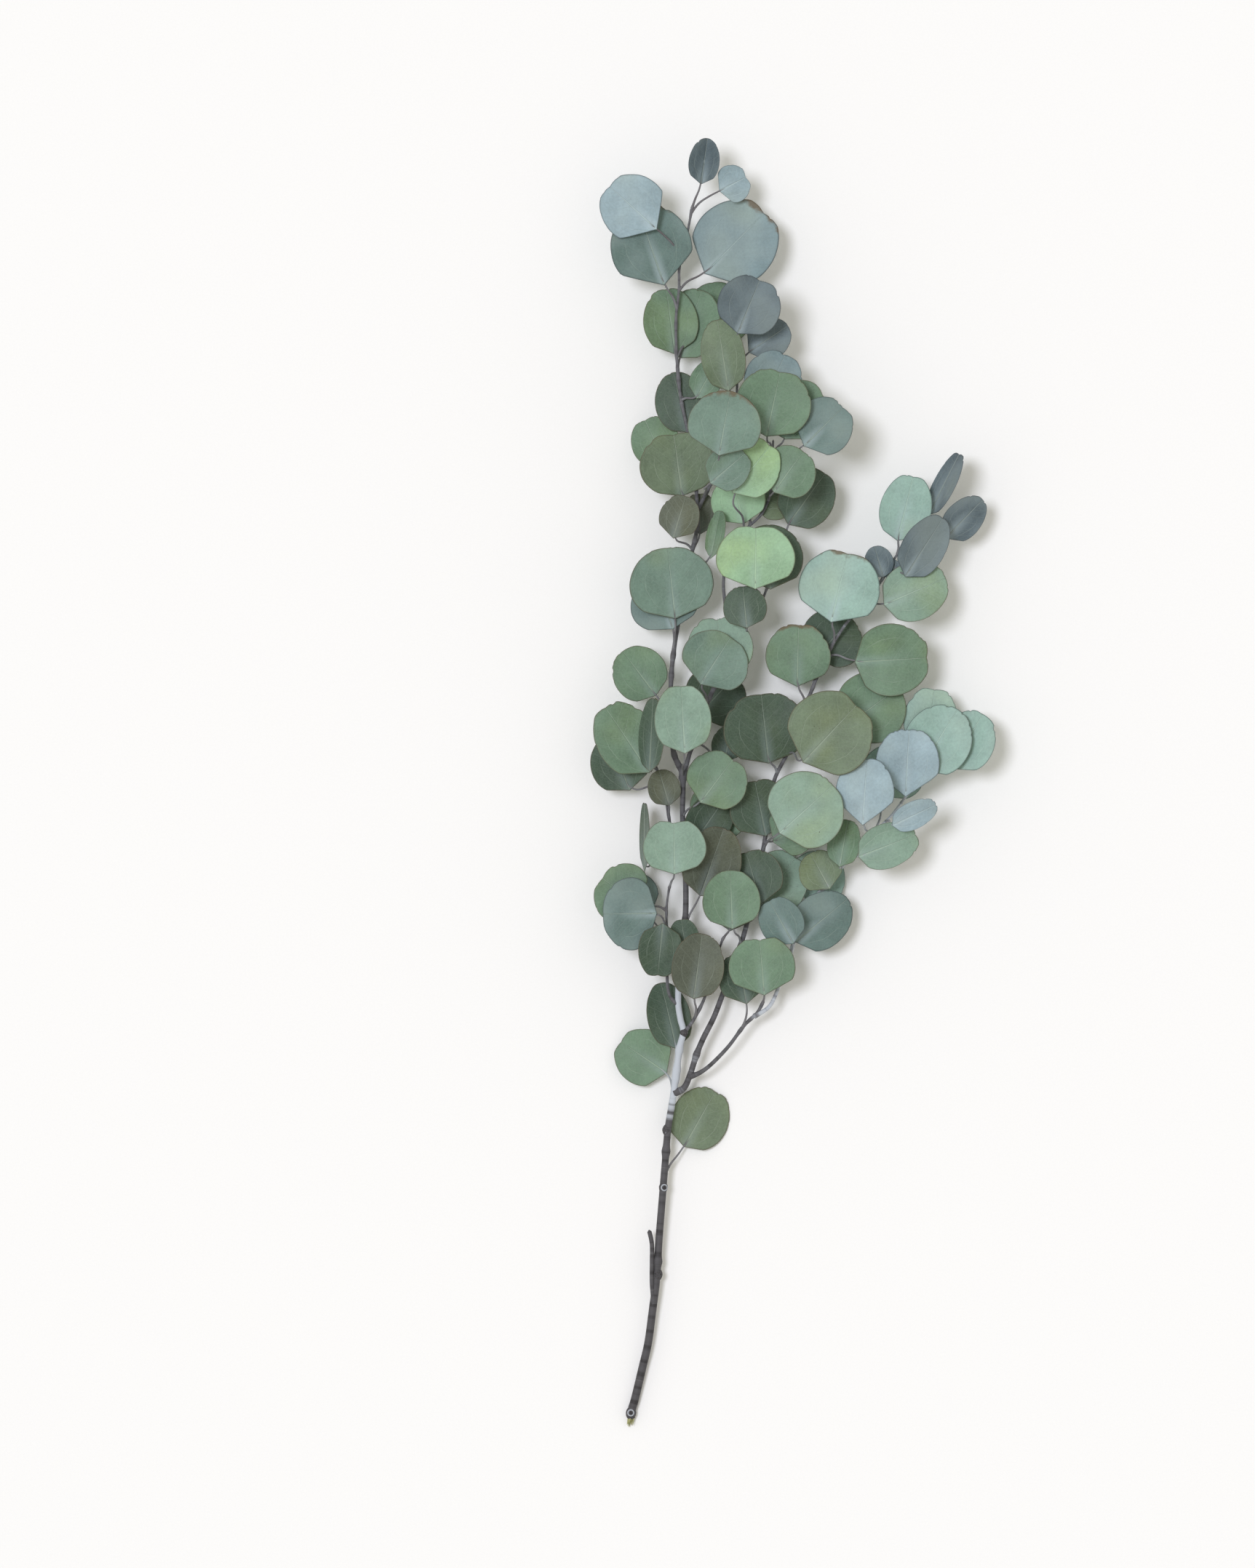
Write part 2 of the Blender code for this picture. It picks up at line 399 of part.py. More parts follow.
class Blade:
    """The form of one leaf's blade: where each of its points lies."""

    def __init__(self, leaf, number):
        draw = random.Random(SEED + number)
        pitch = draw.uniform(*PITCH_RANGE)
        roll = draw.uniform(*ROLL_RANGE)
        self.cup = draw.uniform(*CUP_RANGE)
        self.wave = draw.uniform(*WAVE_RANGE)
        self.phase = draw.uniform(0.0, 2.0 * math.pi)
        notch = draw.uniform(*NOTCH_RANGE)
        self.notch = notch if leaf.notch is None else leaf.notch
        wedge = draw.uniform(*WEDGE_RANGE)
        self.wedge = wedge if leaf.wedge is None else leaf.wedge
        pitch = pitch if leaf.pitch is None else leaf.pitch
        roll = roll if leaf.roll is None else leaf.roll
        self.fold = math.tan(math.radians(leaf.fold))
        if leaf.layer == ON_SURFACE:
            self.cup = self.wave = 0.0
        self.base = place(*leaf.base)
        ahead = place(*leaf.tip) - self.base
        self.length = ahead.length
        self.half_width = 0.5 * leaf.width * PIXEL
        ahead.normalize()
        self.ahead = ahead + Vector((0, 0, math.tan(math.radians(pitch))))
        self.side = Vector((ahead.y, -ahead.x, math.tan(math.radians(roll))))
        self.normal = self.side.cross(self.ahead).normalized()
        self.floor = None

    def outline(self, turn):
        """The outline at a turn from the base (0) round to the tip (pi): along and across, 0 to 1."""
        reach = 0.5 - 0.5 * math.cos(turn)
        near_tip = max(0.0, 1.0 - abs(math.pi - abs(turn)) / 0.5)
        pinch = min(1.0, abs(turn) / self.wedge) ** WEDGE_POWER
        across = math.sin(turn) * (1.0 + 0.07 * math.cos(turn)) * pinch
        return reach - self.notch * near_tip, across

    def rise(self, reach, across):
        """How far the blade stands off its plane at a point, in metres."""
        spread = math.hypot(2 * reach - 1, across)
        bend = self.cup * (across * across - 0.35 * (2 * reach - 1) ** 2)
        ripple = self.wave * spread ** 2 * math.sin(3.0 * math.atan2(across, 2 * reach - 1) + self.phase)
        return (bend + ripple) * self.length + self.fold * abs(across) * self.half_width

    def point(self, reach, across, lift=0.0):
        """The blade's point at a reach along it and across it, raised along its normal."""
        spot = self.base + self.ahead * (reach * self.length) + self.side * (across * self.half_width)
        spot = spot + Vector((0, 0, 1)) * self.rise(reach, across) + self.normal * lift
        if self.floor is not None:
            spot.z = max(spot.z, self.floor + 0.5 * BLADE_THICKNESS + lift)
        return spot

    def samples(self):
        """Points spread over the whole blade, for keeping it clear of what lies above and below."""
        found = []
        for row in range(SAMPLES + 1):
            for column in range(SAMPLES + 1):
                reach = row / SAMPLES
                across = 2.0 * column / SAMPLES - 1.0
                if math.hypot(2.0 * reach - 1.0, across) <= 1.02:
                    found.append(self.point(reach, across))
        return np.array(found)

    def mesh(self):
        """The closed blade, split alike on both faces."""
        right = [self.outline(math.pi * step / OUTLINE_STEPS) for step in range(OUTLINE_STEPS + 1)]
        left = [(reach, -across) for reach, across in reversed(right[1:-1])]
        ring = right + left
        spine = [(reach, 0.0) for reach in MIDRIB_STEPS]
        flat = [(0, 1, 14), (1, 2, 14), (2, 3, 14), (14, 3, 15), (3, 4, 15), (4, 5, 15), (5, 6, 15),
                (6, 7, 15), (7, 8, 15), (8, 9, 15), (9, 10, 15), (10, 11, 15), (14, 15, 11),
                (11, 12, 14), (12, 13, 14), (13, 0, 14)]
        mesh = bmesh.new()
        half = 0.5 * BLADE_THICKNESS
        upper = [mesh.verts.new(self.point(*spot, half)) for spot in ring + spine]
        lower = [mesh.verts.new(self.point(*spot, -half)) for spot in ring + spine]
        for corners in flat:
            mesh.faces.new([upper[corner] for corner in corners])
            mesh.faces.new([lower[corner] for corner in reversed(corners)])
        count = len(ring)
        for corner in range(count):
            turned = (corner + 1) % count
            mesh.faces.new((upper[turned], upper[corner], lower[corner]))
            mesh.faces.new((upper[turned], lower[corner], lower[turned]))
        bmesh.ops.recalc_face_normals(mesh, faces=mesh.faces)
        return mesh


class HeightMap:
    """The highest and lowest occupied heights over each cell of the surface."""

    def __init__(self):
        shape = (int(2 * GRID_HALF_X / CELL), int(2 * GRID_HALF_Y / CELL))
        self.top = np.zeros(shape)
        self.under = np.full(shape, NO_CEILING)

    def cells(self, points):
        """The cells under these points."""
        columns = np.clip(((points[:, 0] + GRID_HALF_X) / CELL).astype(int), 0, self.top.shape[0] - 1)
        rows = np.clip(((points[:, 1] + GRID_HALF_Y) / CELL).astype(int), 0, self.top.shape[1] - 1)
        return columns, rows

    def add(self, points, half_thickness):
        """Marks the cells under a piece as taken."""
        cells = self.cells(points)
        np.maximum.at(self.top, cells, points[:, 2] + half_thickness)
        np.minimum.at(self.under, cells, points[:, 2] - half_thickness)

    def above(self, points):
        """How far the points must rise to lie on what is there."""
        return float(np.max(self.top[self.cells(points)] + LEAF_CLEARANCE - points[:, 2]))

    def below(self, points):
        """How far the points may rise under what is there."""
        return float(np.min(self.under[self.cells(points)] - LEAF_CLEARANCE - points[:, 2]))


def petiole_route(blade, root, ahead):
    """The leaf stalk's curve, from the middle of the wood to just inside the blade."""
    into = blade.point(0.09, 0.0)
    reach = (into - root).length
    along_blade = (blade.point(0.2, 0.0) - blade.point(0.0, 0.0)).normalized()
    start = root + ahead * reach * 0.22 + (into - root) * 0.18
    end = into - along_blade * reach * 0.38
    route = []
    for step in range(PETIOLE_RINGS):
        t = step / (PETIOLE_RINGS - 1)
        spot = (root * (1 - t) ** 3 + start * 3 * t * (1 - t) ** 2 + end * 3 * t * t * (1 - t)
                + into * t ** 3)
        spot.z = max(spot.z, PETIOLE_RADIUS)
        route.append(spot)
    return route


def lay_out(routes):
    """Places every blade: flat ones first, those under the wood next, then layer on layer."""
    heights = HeightMap()
    blades = {}
    stalks = {}
    for number, leaf in enumerate(LEAVES):
        blades[number] = Blade(leaf, number)
    order = sorted(range(len(LEAVES)), key=lambda number: (LEAVES[number].layer, number))
    lying = [number for number in order if LEAVES[number].layer == ON_SURFACE]
    hung = [number for number in order if LEAVES[number].layer == UNDER_WOOD]
    stacked = [number for number in order if LEAVES[number].layer > 0]
    ceiling = HeightMap()
    for stem in STEMS:
        route = routes[stem.name]
        for index, spot in enumerate(route):
            radius = stem_radius(stem, index / (len(route) - 1))
            ring = np.array([(spot.x + radius * across, spot.y, spot.z) for across in (-1, 0, 1)])
            heights.add(ring, radius)
            ceiling.add(ring, radius)
    for number in lying + hung + stacked:
        leaf = LEAVES[number]
        blade = blades[number]
        route = routes[leaf.stem]
        share = nearest(route, place(*leaf.root))
        root = along(route, share)
        ahead = along(route, min(share + 0.02, 1.0)) - along(route, max(share - 0.02, 0.0))
        ahead.normalize()
        if leaf.layer == ON_SURFACE:
            blade.base.z = SURFACE_BASE
        elif leaf.layer == UNDER_WOOD:
            blade.base.z = min(ceiling.below(blade.samples()), root.z - BASE_STEP)
        else:
            blade.base.z = max(heights.above(blade.samples()), root.z + BASE_STEP)
        blade.floor = 0.0
        stalks[number] = petiole_route(blade, root, ahead)
        for points, half in ((blade.samples(), 0.5 * BLADE_THICKNESS),
                             (np.array(smooth_route(stalks[number], 8)), PETIOLE_RADIUS)):
            heights.add(points, half)
            if leaf.layer != ON_SURFACE:
                ceiling.add(points, half)
    return blades, stalks


def bark(name, colour, roughness):
    """A plain matte finish for one piece."""
    finish = bpy.data.materials.new(name)
    finish.use_nodes = True
    shader = finish.node_tree.nodes["Principled BSDF"]
    shader.inputs["Base Color"].default_value = (*colour, 1.0)
    shader.inputs["Roughness"].default_value = roughness
    shader.inputs["Metallic"].default_value = 0.0
    return finish


NODE_COLOURS = {
    "main_stem": (0.18, 0.24, 0.19), "right_limb": (0.14, 0.22, 0.17), "side_limb": (0.20, 0.30, 0.20),
    "outer_spray": (0.26, 0.34, 0.33), "dark_spray": (0.12, 0.17, 0.11),
    "left_spray": (0.22, 0.31, 0.28), "inner_spray": (0.14, 0.23, 0.15),
    "middle_spray": (0.19, 0.33, 0.17), "upper_spray": (0.20, 0.26, 0.27),
}


def join(node, bodies):
    """Fuses the wood, stalks and blades of one leafy stem into one closed body."""
    first = bodies[0]
    rest = bpy.data.collections.new(node + "_pieces")
    for body in bodies[1:]:
        bpy.context.scene.collection.objects.unlink(body)
        rest.objects.link(body)
    bpy.context.scene.collection.children.link(rest)
    union = first.modifiers.new("union", "BOOLEAN")
    union.operation = "UNION"
    union.operand_type = "COLLECTION"
    union.solver = "MANIFOLD"
    union.collection = rest
    bpy.context.view_layer.update()
    joined = bpy.data.meshes.new_from_object(first.evaluated_get(bpy.context.evaluated_depsgraph_get()))
    first.modifiers.clear()
    first.data = joined
    for body in bodies[1:]:
        bpy.data.objects.remove(body, do_unlink=True)
    bpy.data.collections.remove(rest)
    first.name = node
    joined.name = node
    joined.materials.clear()
    joined.materials.append(bark(node, NODE_COLOURS[node], 0.6))
    joined.shade_smooth()
    joined.set_sharp_from_angle(angle=math.radians(40))
    return first


def knot(column, row, side, size, routes):
    """A leaf scar: a short swelling on the trunk."""
    route = routes["trunk"]
    centre = along(route, nearest(route, place(column, row)))
    centre = centre + Vector((side * 0.8 * MILLIMETRE, 0, 0))
    half = Vector((0.1, 1.0, 0.0)) * size * 0.9 * MILLIMETRE
    return to_object("knot", tube_mesh([centre - half, centre, centre + half],
                                       [1.2 * MILLIMETRE, size * MILLIMETRE, 1.2 * MILLIMETRE], 6))


def build():
    """Makes the branch."""
    clear_scene()
    routes = stem_routes()
    blades, stalks = lay_out(routes)
    pieces = {}
    for stem in STEMS:
        route = routes[stem.name]
        count = RINGS_PER_SPAN.get(stem.name, 1) * (len(stem.points) - 1) + 1
        spots = [along(route, index / (count - 1)) for index in range(count)]
        radii = [stem_radius(stem, index / (count - 1)) for index in range(count)]
        slant = 3.5 * MILLIMETRE if stem.name == "trunk" else 0.0
        made = to_object(stem.name, tube_mesh(spots, radii, stem.sides, slant))
        pieces.setdefault(stem.node, []).append(made)
    for column, row, side, size in KNOTS:
        pieces["main_stem"].append(knot(column, row, side, size, routes))
    nodes = {stem.name: stem.node for stem in STEMS}
    for number, leaf in enumerate(LEAVES):
        body = pieces[nodes[leaf.stem]]
        body.append(to_object(f"blade_{number}", blades[number].mesh()))
        radii = [PETIOLE_RADIUS * (1.3 - 0.3 * step / (PETIOLE_RINGS - 1)) for step in range(PETIOLE_RINGS)]
        body.append(to_object(f"stalk_{number}", tube_mesh(stalks[number], radii, PETIOLE_SIDES)))
    for node, bodies in pieces.items():
        join(node, bodies)


build()
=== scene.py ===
"""Looks of a cut branch of round-leaved eucalyptus, lying on a plain pale surface.

The leaves and stems are laid out here by the same plan and rule as in the branch's
solids, and each is then made as a fine mesh with its own procedural finish.
"""
import json
import logging
import math
import random
from dataclasses import dataclass
from enum import Enum, IntEnum

import bpy
import numpy as np
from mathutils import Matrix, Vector

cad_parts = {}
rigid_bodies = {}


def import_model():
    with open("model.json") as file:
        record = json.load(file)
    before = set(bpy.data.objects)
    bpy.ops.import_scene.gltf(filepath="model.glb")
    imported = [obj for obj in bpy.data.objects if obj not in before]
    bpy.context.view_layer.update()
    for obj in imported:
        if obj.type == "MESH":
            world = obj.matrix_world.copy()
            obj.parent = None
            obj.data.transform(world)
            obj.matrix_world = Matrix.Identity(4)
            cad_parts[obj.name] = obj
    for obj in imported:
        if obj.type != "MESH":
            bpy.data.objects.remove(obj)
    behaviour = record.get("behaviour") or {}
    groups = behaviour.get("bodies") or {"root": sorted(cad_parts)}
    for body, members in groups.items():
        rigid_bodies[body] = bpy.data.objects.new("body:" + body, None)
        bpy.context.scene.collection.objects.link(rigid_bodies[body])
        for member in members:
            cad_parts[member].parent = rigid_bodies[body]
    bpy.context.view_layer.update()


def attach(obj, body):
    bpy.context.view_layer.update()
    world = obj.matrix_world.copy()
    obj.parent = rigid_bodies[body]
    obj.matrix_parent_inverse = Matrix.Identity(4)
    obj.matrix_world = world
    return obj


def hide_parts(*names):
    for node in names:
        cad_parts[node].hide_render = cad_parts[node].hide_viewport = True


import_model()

LOG = logging.getLogger("eucalyptus")

# The branch's real length and the picture's frame, in metres and pixels
BRANCH_LENGTH = 0.745
PICTURE_TOP = 194.0
PICTURE_BOTTOM = 1966.0
PICTURE_WIDTH = 1725.0
PICTURE_HEIGHT = 2156.0
MIDDLE_COLUMN = 1088.94
MIDDLE_ROW = 1081.81
PIXEL = BRANCH_LENGTH / (PICTURE_BOTTOM - PICTURE_TOP)
MILLIMETRE = 0.001

# The solids' thicknesses and the clearance between leaves, which set how they stack
SOLID_THICKNESS = 0.0007
STALK_RADIUS = 0.00065
PIECE_GAP = 0.0003
FACET_SHARE = 0.87
LEAF_CLEARANCE = 0.0014
BASE_STEP = 0.002
SURFACE_BASE = 0.011
ROUTE_STEPS = 24
STALK_RINGS = 4

# How leaves stand and are shaped when the plan says nothing else
PITCH_RANGE = (-9.0, 15.0)
ROLL_RANGE = (-15.0, 15.0)
CUP_RANGE = (0.03, 0.10)
WAVE_RANGE = (0.010, 0.028)
NOTCH_RANGE = (0.0, 0.07)
WEDGE_RANGE = (0.55, 1.0)
WEDGE_POWER = 1.15
SEED = 41

# The grid on which heights are kept, in metres
CELL = 0.002
GRID_HALF_X = 0.160
GRID_HALF_Y = 0.400
NO_CEILING = 1.0
SAMPLES = 34


class Lie(IntEnum):
    """Where a leaf lies if it isn't stacked above the wood."""

    ON_SURFACE = -9
    UNDER_WOOD = -1


class Tone(Enum):
    """The leaves' colours, as the picture shows them: red, green and blue, 0 to 255. The darkest tone is
    painted shade, for leaves that lie in the shadow of others.
    """

    SILVER = (150, 171, 178)
    BLUE_GREY = (120, 141, 145)
    SLATE = (88, 102, 108)
    BLUE_GREEN = (96, 118, 112)
    TEAL = (148, 178, 166)
    GREY_GREEN = (110, 134, 120)
    GREEN = (106, 132, 108)
    SAGE = (132, 158, 140)
    FRESH = (146, 180, 145)
    OLIVE = (108, 124, 100)
    BROWN = (88, 94, 80)
    # Painted shade: a darker tone given to leaves that lie shaded under other leaves
    DARK = (70, 88, 72)


class Mark(Enum):
    """What time has left on a leaf."""

    CLEAN = 0
    SPECKLED = 1
    BROWNED = 2


BLUE_TONES = (Tone.SILVER, Tone.BLUE_GREY, Tone.SLATE, Tone.BLUE_GREEN, Tone.TEAL)


@dataclass(frozen=True)
class StemPlan:
    """One length of wood.

    Points are (column, row, height in millimetres) and radii are in millimetres.
    Bloom is how powdery the skin is at shares of the length, and age how ridged
    it is at the foot and the tip, both from 0 to 1.
    """

    name: str
    node: str
    parent: str
    points: tuple
    foot_radius: float
    tip_radius: float
    bloom: tuple = ((0.0, 0.25), (1.0, 0.25))
    age: tuple = (0.5, 0.2)


@dataclass(frozen=True)
class LeafPlan:
    """One leaf: where its blade starts and ends in the picture, and how it stands.

    Base, tip, root and width are in pixels. Layer 1 is the lowest above the
    wood. Pitch, roll and fold are in degrees. The wedge is the turn of the
    outline, in radians, over which the blade narrows into its stalk.
    """

    stem: str
    base: tuple
    tip: tuple
    width: float
    layer: int
    tone: Tone
    pitch: float = None
    roll: float = None
    fold: float = 0.0
    root: tuple = None
    notch: float = None
    wedge: float = None
    mark: Mark = Mark.CLEAN


STEMS = (
    StemPlan("trunk", "main_stem", "", (
        (866, 1962, 2.64), (868, 1940, 3.04), (873, 1922, 3.6), (883, 1880, 4.8), (891, 1845, 6.0),
        (897, 1800, 7.2), (902, 1760, 8.4), (906, 1700, 9.8), (910, 1650, 11.0), (914, 1600, 12.0),
        (918, 1552, 13.0), (925, 1508, 14.0), (930, 1470, 15.0), (934, 1440, 16.0),
        (939, 1418, 16.6), (935, 1400, 17.0), (932, 1378, 17.4), (933, 1350, 18.0),
        (938, 1310, 19.0), (942, 1260, 20.0), (942, 1200, 20.5), (938, 1120, 21.0),
        (938, 1068, 21.5), (926, 1036, 22.0), (922, 995, 22.5), (922, 940, 23.0),
        (926, 895, 23.5), (936, 835, 24.0), (950, 765, 24.5), (958, 722, 25.0), (956, 668, 25.0),
        (946, 600, 24.5), (935, 545, 24.0), (930, 490, 24.0), (929, 440, 24.0), (933, 400, 24.0),
        (934, 365, 25.0), (944, 325, 27.0), (951, 288, 30.0)), 2.4, 0.65,
        bloom=((0.0, 0.15), (0.24, 0.2), (0.28, 0.85), (0.36, 0.8), (0.42, 0.3), (1.0, 0.15)),
        age=(1.0, 0.2)),
    StemPlan("snag", "main_stem", "trunk", (
        (899, 1792, 8.4), (896, 1765, 9.6), (896, 1735, 10.4), (896, 1710, 11.2), (892, 1690, 12.4)),
         1.2, 1.3, bloom=((0.0, 0.2), (1.0, 0.1)), age=(0.9, 0.9)),
    StemPlan("right_limb", "right_limb", "trunk", (
        (926, 1502, 14.0), (940, 1495, 14.5), (949, 1475, 15.0), (957, 1450, 15.5),
        (966, 1428, 16.0), (981, 1398, 16.5), (991, 1372, 17.0), (1002, 1342, 17.5),
        (1012, 1312, 18.0), (1022, 1285, 18.5), (1033, 1240, 19.0), (1041, 1200, 19.5),
        (1049, 1165, 20.0), (1057, 1115, 20.5), (1064, 1072, 21.0), (1087, 1025, 22.0),
        (1109, 965, 23.0), (1123, 930, 23.5), (1142, 890, 24.0), (1163, 857, 24.5),
        (1190, 828, 25.0), (1211, 798, 25.5), (1229, 768, 26.0), (1248, 742, 26.5),
        (1266, 724, 27.0)), 1.75, 0.6,
        bloom=((0.0, 0.3), (1.0, 0.3)), age=(0.8, 0.15)),
    StemPlan("side_limb", "side_limb", "right_limb", (
        (947, 1480, 15.0), (962, 1474, 16.0), (978, 1462, 16.5), (1001, 1438, 17.0),
        (1022, 1410, 17.5), (1040, 1392, 18.0), (1050, 1374, 19.0)), 1.3, 0.8, age=(0.7, 0.3)),
    StemPlan("outer_twig", "outer_spray", "side_limb", (
        (1036, 1397, 17.8), (1058, 1382, 18.0), (1072, 1350, 18.4), (1084, 1318, 18.8),
        (1092, 1290, 19.2), (1106, 1253, 20.0), (1122, 1230, 20.6), (1150, 1199, 21.4),
        (1178, 1167, 22.4), (1200, 1145, 23.0), (1226, 1119, 24.0), (1245, 1094, 24.6),
        (1266, 1074, 25.0), (1290, 1060, 25.6)), 1.15, 0.55,
        bloom=((0.0, 0.5), (0.4, 0.9), (1.0, 0.8)), age=(0.4, 0.2)),
    StemPlan("dark_twig", "dark_spray", "trunk", (
        (939, 1420, 16.6), (951, 1405, 17.4), (962, 1385, 18.6), (970, 1366, 19.6),
        (982, 1325, 21.0), (994, 1287, 22.0)), 1.0, 0.6),
    StemPlan("left_twig", "left_spray", "trunk", (
        (933, 1382, 17.4), (921, 1369, 17.8), (917, 1348, 18.4), (917, 1300, 19.6),
        (916, 1250, 20.8), (920, 1218, 22.0)), 1.0, 0.6),
    StemPlan("inner_twig", "inner_spray", "trunk", (
        (941, 1184, 20.6), (926, 1162, 20.0), (919, 1122, 19.6), (912, 1085, 19.4),
        (900, 1050, 20.0), (890, 1020, 21.0)), 0.95, 0.55),
    StemPlan("middle_twig", "middle_spray", "trunk", (
        (938, 1072, 21.5), (952, 1022, 23.0), (974, 962, 25.0), (999, 905, 27.0),
        (998, 850, 28.0), (994, 800, 28.5), (1003, 758, 29.0), (1024, 730, 29.4),
        (1046, 708, 29.6), (1058, 680, 29.8), (1061, 640, 30.0), (1062, 606, 30.6)), 1.3, 0.6),
    StemPlan("bright_twig", "middle_spray", "middle_twig", (
        (998, 908, 26.8), (1018, 882, 27.4), (1031, 848, 28.4), (1040, 818, 29.4)), 0.9, 0.7),
    StemPlan("blue_twig", "middle_spray", "bright_twig", (
        (1030, 852, 28.2), (1048, 824, 28.6), (1062, 780, 29.4), (1078, 738, 30.4)), 0.75, 0.6),
    StemPlan("upper_twig", "upper_spray", "trunk", (
        (957, 705, 25.0), (972, 676, 26.0), (990, 640, 27.0), (1004, 600, 28.0),
        (1011, 560, 28.6), (1013, 515, 29.2), (1013, 470, 30.0)), 1.05, 0.6),
)

